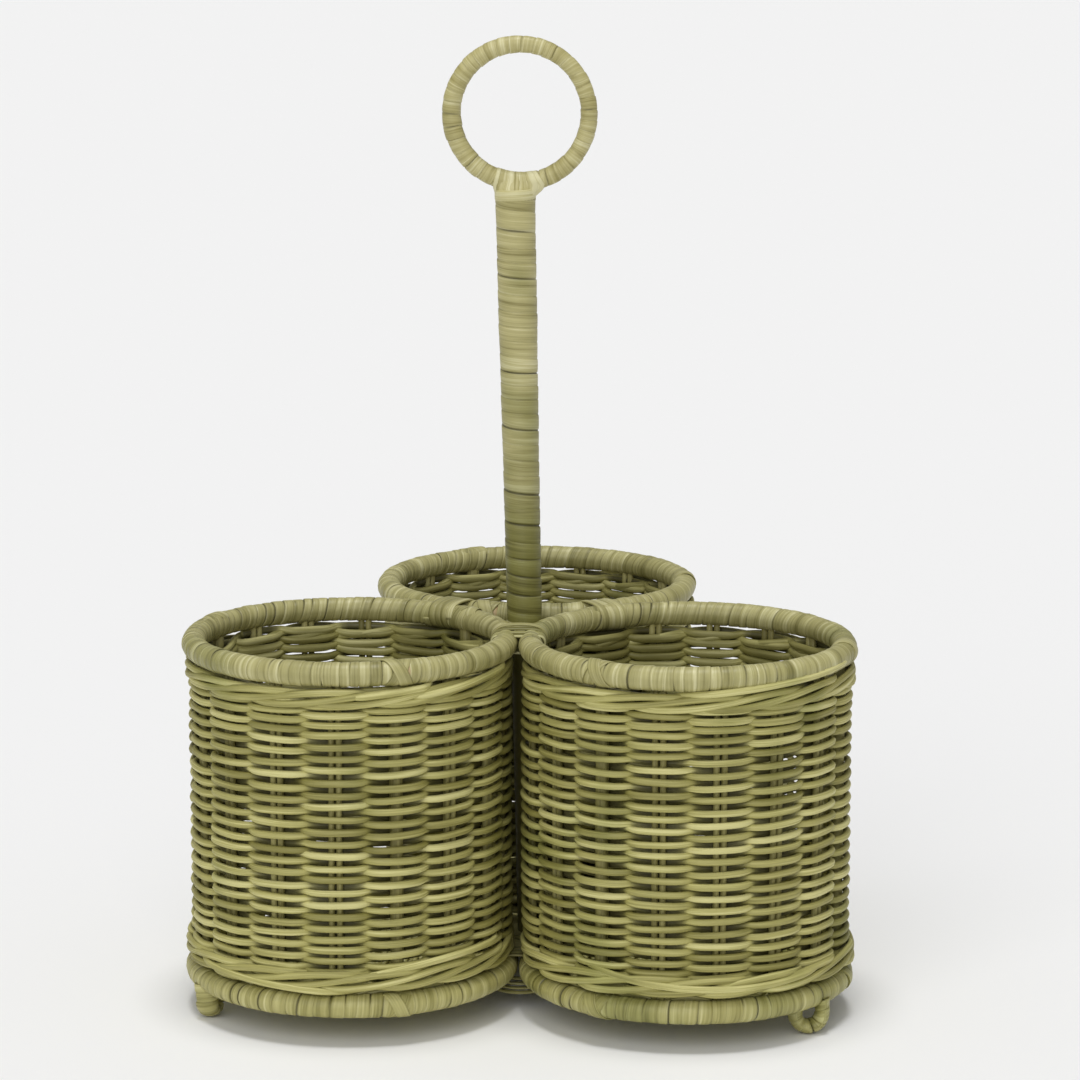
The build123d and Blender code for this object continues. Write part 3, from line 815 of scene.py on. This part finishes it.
def floor_weave(basket, first, sign, seed):
    """One of the two weavers of the floor: a flat spiral that passes over and under the spokes.

    Its height is a cosine of pi times the column of spokes, which is nothing in the close-wound middle.
    """
    last = first + FLOOR_SPOKES * (FLOOR_END - FLOOR_START) / FLOOR_PITCH
    column = np.arange(first, last, 1 / STEPS_PER_SPOKE)
    reach = FLOOR_START + FLOOR_PITCH * (column - first) / FLOOR_SPOKES
    angle = np.radians(BASKET_ANGLES[basket["name"]] + (column + 0.5) * 360 / FLOOR_SPOKES)
    ease = np.clip((reach - FLOOR_HEART) / FLOOR_GROWTH, 0, 1)
    swing = sign * np.cos(np.pi * column) * (SPOKE_RADIUS + FLOOR_REED) * ease
    outward = np.stack([np.cos(angle), np.sin(angle), np.zeros(angle.shape)], -1)
    points = basket["centre"] + reach[:, None] * outward
    points[:, 2] = basket["base"] + swing + drift(column, seed, FLOOR_WANDER)
    upward = np.broadcast_to(np.array([0.0, 0.0, 1.0]), points.shape)
    return strand(points, upward, FLOOR_REED, FLOOR_REED * FLOOR_BROADER, seed, sides=6)


def floor_spokes(basket, seed):
    """Spokes of the floor, from its close-wound middle to the hoop."""
    sheets = []
    for spoke in range(FLOOR_SPOKES):
        angle = math.radians(BASKET_ANGLES[basket["name"]] + (spoke + 0.5) * 360 / FLOOR_SPOKES)
        reach = np.linspace(FLOOR_HEART, SPOKE_END, SPOKE_POINTS)
        outward = np.array([math.cos(angle), math.sin(angle), 0.0])
        points = basket["centre"] + reach[:, None] * outward
        points[:, 2] = basket["base"]
        upward = np.broadcast_to(np.array([0.0, 0.0, 1.0]), points.shape)
        sheets += strand(points, upward, SPOKE_RADIUS, SPOKE_RADIUS, seed)
    return sheets


# Where each foot stands round its basket and the line its legs stand along, turned from the basket's angle
FOOT_OFFSET_ANGLE = -4.5
FOOT_TURNS = {"back": 56, "left": 52, "right": 42}
# The loop's bend, its half thickness and half breadth with the peel, and how much broader it is at the top
FOOT_BEND = 4.6 * MM
FOOT_THICK = 2.4 * MM
FOOT_BROAD = 3.8 * MM
FOOT_FLARE_SHARE = 0.12
# It stands this far inside the hoop's circle and over the ground, and ends this far under the hoop's middle
FOOT_INSET = 1.7 * MM
FOOT_GROUND = 0.12 * MM
FOOT_SEAT = 1.0 * MM


def foot(basket, seed):
    """A bent loop wound with peel: two legs joined by a half circle, broader than thick, flared upward."""
    turn = math.radians(BASKET_ANGLES[basket["name"]] + FOOT_OFFSET_ANGLE)
    heading = math.radians(BASKET_ANGLES[basket["name"]] + FOOT_TURNS[basket["name"]])
    place = basket["hoop_radius"] - FOOT_INSET
    middle = basket["centre"] + place * np.array([math.cos(turn), math.sin(turn), 0.0])
    across = np.array([math.cos(heading), math.sin(heading), 0.0])
    broad = np.array([math.sin(heading), -math.cos(heading), 0.0])
    bend_height = FOOT_BEND + FOOT_THICK + FOOT_GROUND
    leg = basket["base"] - FOOT_SEAT - bend_height
    length = 2 * leg + math.pi * FOOT_BEND

    def spine(distance):
        arc = np.clip((distance - leg) / FOOT_BEND, 0, math.pi)
        rise = np.maximum(leg - distance, 0) + np.maximum(distance - leg - math.pi * FOOT_BEND, 0)
        sideways = (-FOOT_BEND * np.cos(arc))[..., None] * across
        up = np.array([0.0, 0.0, 1.0])
        point = middle + sideways + (bend_height - FOOT_BEND * np.sin(arc) + rise)[..., None] * up
        outward = -np.cos(arc)[..., None] * across - np.sin(arc)[..., None] * up
        flare = 1 + FOOT_FLARE_SHARE * np.clip(rise / leg, 0, 1)
        side = broad * FOOT_BROAD / FOOT_THICK * flare[..., None]
        return point, outward, side

    return wound(spine, length, FOOT_THICK - PEEL_HEIGHT, FOOT_WRAP, seed, start=math.pi / 2, sides=20,
                 flatten=0.2 * MM, lift=0.08 * MM, lean=0.15 * MM)


def build_basket(name):
    """All the pieces of one basket."""
    basket = basket_sizes(name)
    top_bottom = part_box(f"{name}_top_wale")[0].z
    base_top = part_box(f"{name}_base_wale")[1].z
    rim = hoop(basket, basket["rim"], RIM_WRAP, dice(f"{name} rim"), open_share=0.35)
    piece(f"{name}_rim_wraps", rim, PEEL, [f"{name}_rim_binding"])
    base = hoop(basket, basket["base"], BASE_WRAP, dice(f"{name} base"), open_share=0.5)
    piece(f"{name}_base_wraps", base, BASE_PEEL, [f"{name}_base_binding"])
    one = weaver(basket, first=0, sign=1, seed=dice(f"{name} one"))
    piece(f"{name}_weaver_one", one, REED, [f"{name}_woven_wall"])
    two = weaver(basket, first=COLUMNS // 2, sign=-1, seed=dice(f"{name} two"))
    piece(f"{name}_weaver_two", two, REED)
    top_middle = (top_bottom + basket["rim"] - basket["wrap"]) / 2
    piece(f"{name}_top_waling", waling(basket, top_middle, dice(f"{name} top"), **TOP_WALE),
          REED, [f"{name}_top_wale"])
    base_middle = (base_top + basket["base"] + basket["wrap"]) / 2
    piece(f"{name}_base_waling", waling(basket, base_middle, dice(f"{name} low"), **BASE_WALE),
          REED, [f"{name}_base_wale"])
    piece(f"{name}_reed_tails", tails(basket, dice(f"{name} tails")), REED)
    piece(f"{name}_stake_canes", stakes(basket, dice(f"{name} stakes")), SHADED_STAKE,
          [f"{name}_stakes"])
    piece(f"{name}_upright_canes", uprights(basket, dice(f"{name} uprights")), SHADED_STAKE,
          [f"{name}_uprights"])
    strands = floor_weave(basket, first=0, sign=1, seed=dice(f"{name} floor"))
    strands += floor_weave(basket, first=FLOOR_SPOKES // 2, sign=-1, seed=dice(f"{name} bed"))
    piece(f"{name}_floor_strands", strands, REED, [f"{name}_floor_weave"])
    piece(f"{name}_floor_rods", floor_spokes(basket, dice(f"{name} rods")), SHADED_STAKE,
          [f"{name}_floor_spokes"])
    piece(f"{name}_foot_loop", foot(basket, dice(f"{name} foot")), BASE_PEEL, [f"{name}_foot"])
    return basket


BASKETS = {name: build_basket(name) for name in BASKET_ANGLES}


# Lashings between the hoops


# Turns of the strip, their pitch, its half width and half thickness, its points in a turn and its squareness
LASH_TURNS = 4
LASH_PITCH = 2.4 * MM
LASH_WIDTH = 1.35 * MM
LASH_THICK = 0.42 * MM
LASH_STEPS = 48
LASH_SQUARENESS = 0.6
# The strip's gap to the hoops, how far it wanders along and off them, and how square its slot is
LASH_GAP = 0.1 * MM
LASH_WANDER = 0.3 * MM
LASH_LIFT = 0.15 * MM
LASH_FLATNESS = 2.2
# The hoops touch this far inward of the lashing's middle
LASH_CONTACT = 1.5 * MM
# How far the turns lie outward of the joint's middle: at the front as the photo shows, and at the others
LASH_FORWARD = {("front", "rim"): 1.6 * MM, ("front", "base"): 4.2 * MM}
OTHER_FORWARD = 0.6 * MM
# Front rim: turns lie closer and are stacked, sag towards the last, and are drawn up below by a share
ARCH_CLOSER = 0.6 * MM
ARCH_STACK = 1.1 * MM
ARCH_SAG = 2.6 * MM
ARCH_DRAWN_SHARE = 0.35
# Front base: the turns hang lower and lower, the last by this share of its reach
SLACK_SHARE = 0.85
# Painted shade on the base lashings and on the rim lashings' lower side, and the strip's tone
BASE_LASH_SHADE = 0.65
RIM_LASH_SHADE = 0.8
LASH_TONE = 0.45
LASH_TONE_WANDER = 0.25


def lashing(side, level, opposite, seed):
    """A flat strip wound round two touching hoops: a circle drawn out sideways into a slot, turn by turn.

    Away from the contact the hoops part by half the square of the distance over their radius, and so does
    the slot. At the front the sag and the slack grow with a power of the turn's share of all the turns.
    """
    basket = BASKETS[opposite]
    low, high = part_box(f"{side}_{level}_lashing")
    arm_angle = math.radians(BASKET_ANGLES[opposite] + 180)
    arm = np.array([math.cos(arm_angle), math.sin(arm_angle), 0.0])
    across = np.array([-arm[1], arm[0], 0.0])
    middle = np.array([(low.x + high.x) / 2, (low.y + high.y) / 2, (low.z + high.z) / 2])
    turn = np.arange(0, LASH_TURNS, 1 / LASH_STEPS)
    angle = 2 * np.pi * turn
    upper, lower = np.clip(np.sin(angle), 0, 1), np.clip(-np.sin(angle), 0, 1)
    grown = (turn / LASH_TURNS) ** 0.8
    arch = 1 if (side, level) == ("front", "rim") else 0
    slack = SLACK_SHARE * grown if (side, level) == ("front", "base") else 0.0
    forward = LASH_FORWARD.get((side, level), OTHER_FORWARD)
    out = (turn - LASH_TURNS / 2) * (LASH_PITCH - ARCH_CLOSER * arch) + forward
    out = out + drift(turn * 2, seed, LASH_WANDER)
    apart = basket["wrap"] + (out + LASH_CONTACT) ** 2 / (2 * basket["hoop_radius"])
    stacked = ARCH_STACK * arch * (1 - turn / LASH_TURNS) * (1 + np.sin(angle)) / 2
    reach = basket["wrap"] + LASH_GAP + LASH_THICK + drift(turn, seed, LASH_LIFT) + stacked
    reach = reach * (1 + (slack - ARCH_DRAWN_SHARE * arch) * lower)
    flat = apart * flat_wave(2 * turn, LASH_FLATNESS)
    centres = middle + out[:, None] * arm + (flat + reach * np.cos(angle))[:, None] * across
    centres[:, 2] += reach * np.sin(angle) - ARCH_SAG * arch * grown * upper ** 3
    outward = np.cos(angle)[:, None] * across + np.sin(angle)[:, None] * np.array([0.0, 0.0, 1.0])
    tone = LASH_TONE + drift(turn * 1.5, seed, LASH_TONE_WANDER)
    # Painted shade: all over the base lashings, on the rim lashings only below
    dark = BASE_LASH_SHADE if level == "base" else RIM_LASH_SHADE * lower
    return strand(centres, outward, LASH_THICK, LASH_WIDTH, seed, sides=12, squareness=LASH_SQUARENESS,
                  tone=tone, swing=-dark)


for side, opposite in (("front", "back"), ("right", "left"), ("left", "right")):
    for level in ("rim", "base"):
        node_name = f"{side}_{level}_lashing"
        finish = PEEL if level == "rim" else BASE_PEEL
        piece(f"{node_name}_strip", lashing(side, level, opposite, dice(node_name)), finish,
              [node_name])


# Post, its binding and the ring handle


def box_centre(node):
    """Middle of a node's box, as an array."""
    low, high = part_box(node)
    return (np.array(low) + np.array(high)) / 2


HUB = box_centre("post_rim_lashing")
RING_CENTRE = box_centre("handle_ring")
BAND_CENTRE = box_centre("post_band")
UP = unit(BAND_CENTRE - HUB)
LEVEL = unit(np.cross(np.array([0.0, 1.0, 0.0]), UP))
BACK = np.array([0.0, 1.0, 0.0])


def post_length(point):
    """Distance of a point from the hub, measured along the post."""
    return float((point - HUB) @ UP)


# The post's radius under its peel at the foot of the winding, and what it gains up to the top
POST_FOOT_RADIUS = 5.45 * MM
POST_GAIN = 0.95 * MM
# How far the winding goes on below into the collar, and above under the band
POST_BELOW = 8 * MM
POST_ABOVE = 1.6 * MM


def wind_post(seed):
    """The post's binding: a straight winding from the rim collar to the band, on the post's taper."""
    low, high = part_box("post_binding")
    bottom, top = low.z - POST_BELOW - HUB[2], high.z + POST_ABOVE - HUB[2]

    def radius(distance):
        return POST_FOOT_RADIUS + POST_GAIN * distance / (top - bottom)

    spine = line_spine(HUB + bottom * UP, UP, BACK)
    return wound(spine, top - bottom, radius, POST_WRAP, seed, front=math.pi, flatten=0.3 * MM,
                 open_share=0.42, sides=32)


# The thick top turn: its turns, its half thickness and half height, where it starts and how it climbs
BAND_TURNS = 2
BAND_THICK = 0.6 * MM
BAND_HALF = 1.5 * MM
BAND_START = 0.5 * MM
BAND_PITCH = 0.8 * MM
BAND_STEPS = 40
BAND_SQUARENESS = 0.55
BAND_TONE = 0.7


def band(seed):
    """The thick top turn: a flat strip that climbs round the post in a helix, under the ring."""
    low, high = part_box("post_band")
    turn = np.arange(0, BAND_TURNS, 1 / BAND_STEPS)
    angle = 2 * np.pi * turn
    reach = (high.x - low.x) / 2 - BAND_THICK
    outward = np.cos(angle)[:, None] * LEVEL + np.sin(angle)[:, None] * BACK
    rise = BAND_START + BAND_PITCH * turn
    centres = BAND_CENTRE + reach * outward + rise[:, None] * UP
    return strand(centres, outward, BAND_THICK, BAND_HALF, seed, sides=12, squareness=BAND_SQUARENESS,
                  tone=BAND_TONE)


# A collar's peel stands off its cane by this, and a tapered collar reaches a share of its node's height
COLLAR_PEEL = 0.6 * MM
TAPERED_SHARE = 0.8
RIM_COLLAR_TAPER = 3.0 * MM


def collar(node, seed, taper=0.0):
    """Turns of peel that wedge the post between the hoops; taper narrows them towards the top."""
    low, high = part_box(node)
    outer = (high.x - low.x) / 2
    height = (high.z - low.z) * (TAPERED_SHARE if taper else 1)

    def radius(distance):
        return outer - COLLAR_PEEL - taper * np.clip(distance / height, 0, 1)

    bottom = box_centre(node)
    bottom[2] = low.z
    spine = line_spine(bottom, np.array([0.0, 0.0, 1.0]), BACK)
    return wound(spine, height, radius, COLLAR_WRAP, seed, sides=32)


def ring_sizes():
    """The ring's circle and the radius of its cane, read off its node."""
    low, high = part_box("handle_ring")
    cane = (high.y - low.y) / 2
    return (high.x - low.x) / 2 - cane, cane


# Half of the ring that the neck covers, and the share of it where the ring's own binding starts
NECK_HALF_ANGLE = math.radians(24)
RING_START_SHARE = 0.7
# Height of the ring's binding over its cane, how much thicker it is on the left and thinner on the right,
# and the radians from the neck at which it starts to thin
RING_PEEL_HEIGHT = 0.52 * MM
RING_UNEVEN = 0.24 * MM
RING_THIN_TURN = 0.5


def wind_ring(seed):
    """The ring's binding, from one side of the neck round to the other; it is thickest on the left."""
    circle, cane = ring_sizes()
    begin = NECK_HALF_ANGLE * RING_START_SHARE

    def radius(distance):
        turned = distance / circle + begin
        return cane + RING_PEEL_HEIGHT - RING_UNEVEN * np.sin(turned - RING_THIN_TURN)

    spine = ring_spine(RING_CENTRE, circle, -UP, LEVEL, begin)
    return wound(spine, 2 * circle * (math.pi - begin), radius, RING_WRAP, seed, start=math.pi / 2,
                 front=-math.pi / 2, flatten=0.6 * MM, open_share=0.22, lift=0.1 * MM)


# Strips of the neck: their number, half thickness, half width on the post, and what they gain on the ring
NECK_STRIPS = 12
STRIP_THICK = 0.3 * MM
STRIP_HALF = 1.0 * MM
STRIP_GAIN = 0.2 * MM
STRIP_STRAY = 0.1 * MM
# They leave the post at this radius, over these degrees each way, this far over the band's middle
STRIP_REACH = 6.3 * MM
STRIP_FAN = 82
STRIP_FOOT = 0.8 * MM
# Over the ring: their height over its cane, and in degrees round it, to the right, how far they spread each
# way and how far all are shifted; the lean is to the left
TUBE_GAP = 1.05 * MM
RING_FAN = 16
RING_SHIFT = -5
STRIP_LEAN = 1
# Towards the right they start lower, land further round and lean more, by the square of the share
RIGHT_LOWER = 1.2 * MM
RIGHT_SHIFT = 7
RIGHT_LEAN = 5
# Degrees round the tube from its underside at which the middle strips land, and how much earlier the outer
LANDING = 118
LANDING_FALL = 62
# Places of the points along a strip's rise, and the number of points over the tube
RISE_STEPS = np.linspace(0, 1, 10)[:-1]
BEND_STEPS = 24
# How unevenly the strips stand, as a share of half the neck, how their width varies, and their tone
STRIP_UNEVEN_SHARE = 0.02
STRIP_WIDTH_SHARES = (0.9, 1.15)
STRIP_TONE = 0.68
STRIP_TONE_SPREAD = 0.2


def neck_strip(share, seed):
    """One strip of the neck: up from the post, over the ring's tube and down behind.

    share runs from -1 at the left to 1 at the right. The rise is a cubic curve that leaves the post
    upward and meets the tube along it; over the tube the strip follows the tube's round section and
    leans to the left, by lean at its crest.
    """
    circle, cane = ring_sizes()
    tube = cane + TUBE_GAP
    right = max(share, 0) ** 2
    turned = math.radians(RING_FAN * share + RING_SHIFT + RIGHT_SHIFT * right)
    lean = -math.radians(STRIP_LEAN + RIGHT_LEAN * right)
    below = math.cos(turned) * -UP + math.sin(turned) * LEVEL
    heart = RING_CENTRE + circle * below
    landing = math.radians(LANDING - LANDING_FALL * abs(share) ** 1.5)
    post_turn = share * math.radians(STRIP_FAN)
    base = BAND_CENTRE + (STRIP_FOOT - RIGHT_LOWER * right) * UP
    halves = []
    for front in (-BACK, BACK):
        leaving = math.sin(post_turn) * LEVEL + math.cos(post_turn) * front
        meeting = math.cos(landing) * below + math.sin(landing) * front
        along = -math.sin(landing) * below + math.cos(landing) * front
        first, last = base + STRIP_REACH * leaving, heart + tube * meeting
        pull = np.linalg.norm(last - first)
        t = RISE_STEPS[:, None]
        rise = ((2 * t**3 - 3 * t**2 + 1) * first + (t**3 - 2 * t**2 + t) * pull * UP
                + (3 * t**2 - 2 * t**3) * last + (t**3 - t**2) * pull * along)
        halves.append((rise, (1 - t) * leaving + t * meeting))
    bend = np.linspace(landing, 2 * math.pi - landing, BEND_STEPS)[:, None]
    swept = turned + lean * (1 - np.abs(bend - math.pi) / (math.pi - landing))
    inward = np.cos(swept) * -UP + np.sin(swept) * LEVEL
    over = np.cos(bend) * inward - np.sin(bend) * BACK
    arch = RING_CENTRE + circle * inward + tube * over
    centres = np.concatenate([halves[0][0], arch, halves[1][0][::-1]])
    outward = np.concatenate([halves[0][1], over, halves[1][1][::-1]])
    spread = np.concatenate([RISE_STEPS, np.ones(BEND_STEPS), RISE_STEPS[::-1]])
    wide = (STRIP_HALF + STRIP_GAIN * spread) * seed.uniform(*STRIP_WIDTH_SHARES)
    centres = centres + seed.uniform(-STRIP_STRAY, STRIP_STRAY) * outward
    tone = STRIP_TONE + seed.uniform(-STRIP_TONE_SPREAD, STRIP_TONE_SPREAD)
    return strand(centres, outward, STRIP_THICK, wide, seed, sides=12, squareness=STRIP_SQUARENESS, tone=tone)


# Turns of peel on the ring under the strips: how far off the cane, and their width
UNDER_PEEL_HEIGHT = 0.3 * MM
UNDER_WRAP = 3.0 * MM
# The throat that fills the neck: its radius on the post, where it starts under the band's middle, and how
# much wider and thinner it is at the ring
THROAT_RADIUS = 5.9 * MM
THROAT_START = 0.5 * MM
THROAT_WIDENS = 2.6 * MM
THROAT_THINS = 3.4 * MM
THROAT_SIDES = 48
THROAT_RINGS = 14
THROAT_TONE = 0.4
THROAT_DARK = 0.3


def throat():
    """A plain sleeve from the post to the ring: ellipses that widen and thin by powers of their climb.

    Each point climbs in equal steps from the post's top to the circle of the ring's cane above it.
    """
    circle = ring_sizes()[0]
    angle = 2 * np.pi * np.arange(THROAT_SIDES) / THROAT_SIDES
    climb = np.linspace(0, 1, THROAT_RINGS)[:, None]
    wide = THROAT_RADIUS + THROAT_WIDENS * climb ** 1.6
    thin = THROAT_RADIUS - THROAT_THINS * climb ** 0.8
    x, y = wide * np.cos(angle), thin * np.sin(angle)
    start = post_length(BAND_CENTRE) - THROAT_START
    end = post_length(RING_CENTRE) - np.sqrt(circle ** 2 - (wide[-1] * np.cos(angle)) ** 2)
    height = start + (end - start) * climb
    off = (RING_CENTRE - HUB) @ LEVEL * climb
    points = HUB + (x + off)[..., None] * LEVEL + y[..., None] * BACK + height[..., None] * UP
    grain = np.stack([height, x, 0 * x], -1)
    shade = np.stack([THROAT_TONE + 0 * x, THROAT_DARK + 0 * x, 0 * x], -1)
    faces = grid_faces(len(climb), len(angle))[:, ::-1]
    return [
        (points.reshape(-1, 3), faces, grain.reshape(-1, 3), shade.reshape(-1, 3)),
        cap(points[0], grain[0], shade[0], True),
        cap(points[-1], grain[-1], shade[-1], False),
    ]


def neck(seed):
    """The neck: strips of peel side by side over a plain throat, and the ring's own turns under them."""
    circle, cane = ring_sizes()
    spine = ring_spine(RING_CENTRE, circle, -UP, LEVEL, -NECK_HALF_ANGLE)
    sheets = wound(spine, circle * 2 * NECK_HALF_ANGLE, cane + UNDER_PEEL_HEIGHT, UNDER_WRAP, seed,
                   start=math.pi / 2, front=-math.pi / 2)
    for strip in range(NECK_STRIPS):
        uneven = seed.uniform(-STRIP_UNEVEN_SHARE, STRIP_UNEVEN_SHARE)
        share = (strip + 0.5) * 2 / NECK_STRIPS - 1 + uneven
        sheets += neck_strip(share, seed)
    return sheets + throat()


piece("post_winding", wind_post(dice("post")), POST_PEEL, ["post_binding"])
piece("post_top_turns", band(dice("band")), POST_PEEL, ["post_band"])
piece("post_rim_collar", collar("post_rim_lashing", dice("rim collar"), RIM_COLLAR_TAPER), PEEL,
      ["post_rim_lashing"])
piece("post_base_collar", collar("post_base_lashing", dice("base collar")), BASE_PEEL,
      ["post_base_lashing"])
piece("ring_winding", wind_ring(dice("ring")), RING_PEEL, ["handle_binding"])
piece("neck_strips", neck(dice("neck")), RING_PEEL, ["neck_binding"])

# The bare canes inside the windings keep their solids and get the stakes' finish, painted darker as shade
for node_name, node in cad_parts.items():
    if not node.hide_render:
        node.data.materials.clear()
        node.data.materials.append(SHADED_STAKE)


# Floor, light and camera


def plain(name, hex_colour, roughness):
    """A plain dull finish for the floor."""
    material = bpy.data.materials.new(name)
    material.use_nodes = True
    tree = material.node_tree
    tree.nodes.clear()
    shader = add(tree, "ShaderNodeBsdfPrincipled", Base_Color=linear(hex_colour), Roughness=roughness,
                 Specular_IOR_Level=0.0)
    add(tree, "ShaderNodeOutputMaterial", Surface=shader.outputs[0])
    return material


# Half the side of the floor, in metres
STUDIO_HALF = 25.0
corners = [(x * STUDIO_HALF, y * STUDIO_HALF, 0) for x, y in ((-1, -1), (1, -1), (1, 1), (-1, 1))]
floor_mesh = bpy.data.meshes.new("studio_floor")
floor_mesh.from_pydata(corners, [], [(0, 1, 2, 3)])
floor_mesh.materials.append(plain("pale_floor", "#F2F2F2", 1.0))
floor = bpy.data.objects.new("studio_floor", floor_mesh)
bpy.context.scene.collection.objects.link(floor)

SKY_STRENGTH = 0.33
BACKDROP = "#F2F2F2"
world = bpy.data.worlds.new("studio")
bpy.context.scene.world = world
world.use_nodes = True
world.node_tree.nodes.clear()
rays = add(world.node_tree, "ShaderNodeLightPath").outputs
seen = add(world.node_tree, "ShaderNodeBackground", Color=linear(BACKDROP), Strength=1.0).outputs[0]
sky = add(world.node_tree, "ShaderNodeBackground", Color=(1, 1, 1, 1), Strength=SKY_STRENGTH).outputs[0]
both = add(world.node_tree, "ShaderNodeMixShader", i0=rays["Is Camera Ray"], i1=sky, i2=seen).outputs[0]
add(world.node_tree, "ShaderNodeOutputWorld", Surface=both)


def sun(name, strength, spread, azimuth, elevation):
    """A broad distant lamp, by degrees: azimuth is 0 at the front and 90 on the right."""
    lamp = bpy.data.lights.new(name, "SUN")
    lamp.energy = strength
    lamp.angle = math.radians(spread)
    made = bpy.data.objects.new(name, lamp)
    turn, lift = math.radians(azimuth), math.radians(elevation)
    source = Vector((math.sin(turn) * math.cos(lift), -math.cos(turn) * math.cos(lift), math.sin(lift)))
    made.rotation_mode = "QUATERNION"
    made.rotation_quaternion = source.to_track_quat("Z", "Y")
    bpy.context.scene.collection.objects.link(made)


sun("top_light", strength=1.56, spread=20, azimuth=0, elevation=87)
sun("front_light", strength=1.1, spread=50, azimuth=-10, elevation=30)

# The camera that fits the photo: its way round, its pitch, and in metres its level distance from the post
# and its height over the base hoops. Focal length and the column of the middle are in pixels of the photo
CAMERA_AZIMUTH = math.radians(3.67)
CAMERA_PITCH = math.radians(10.85)
CAMERA_DISTANCE = 1.5
CAMERA_HEIGHT = 0.4279
FOCAL_PIXELS = 4482
CENTRE_PIXEL = 524.7
PHOTO_PIXELS = 1080
camera_data = bpy.data.cameras.new("camera")
camera = bpy.data.objects.new("camera", camera_data)
bpy.context.scene.collection.objects.link(camera)
bpy.context.scene.camera = camera
camera_data.sensor_width = 36
camera_data.lens = FOCAL_PIXELS / PHOTO_PIXELS * camera_data.sensor_width
camera_data.shift_x = (PHOTO_PIXELS / 2 - CENTRE_PIXEL) / PHOTO_PIXELS
camera_data.clip_end = 100
camera.location = (
    CAMERA_DISTANCE * math.sin(CAMERA_AZIMUTH),
    HUB[1] - CAMERA_DISTANCE * math.cos(CAMERA_AZIMUTH),
    BASKETS["left"]["base"] + CAMERA_HEIGHT,
)
forward = Vector((
    -math.sin(CAMERA_AZIMUTH) * math.cos(CAMERA_PITCH),
    math.cos(CAMERA_AZIMUTH) * math.cos(CAMERA_PITCH),
    -math.sin(CAMERA_PITCH),
))
camera.rotation_mode = "QUATERNION"
camera.rotation_quaternion = forward.to_track_quat("-Z", "Y")

bpy.context.scene.view_settings.view_transform = "Standard"
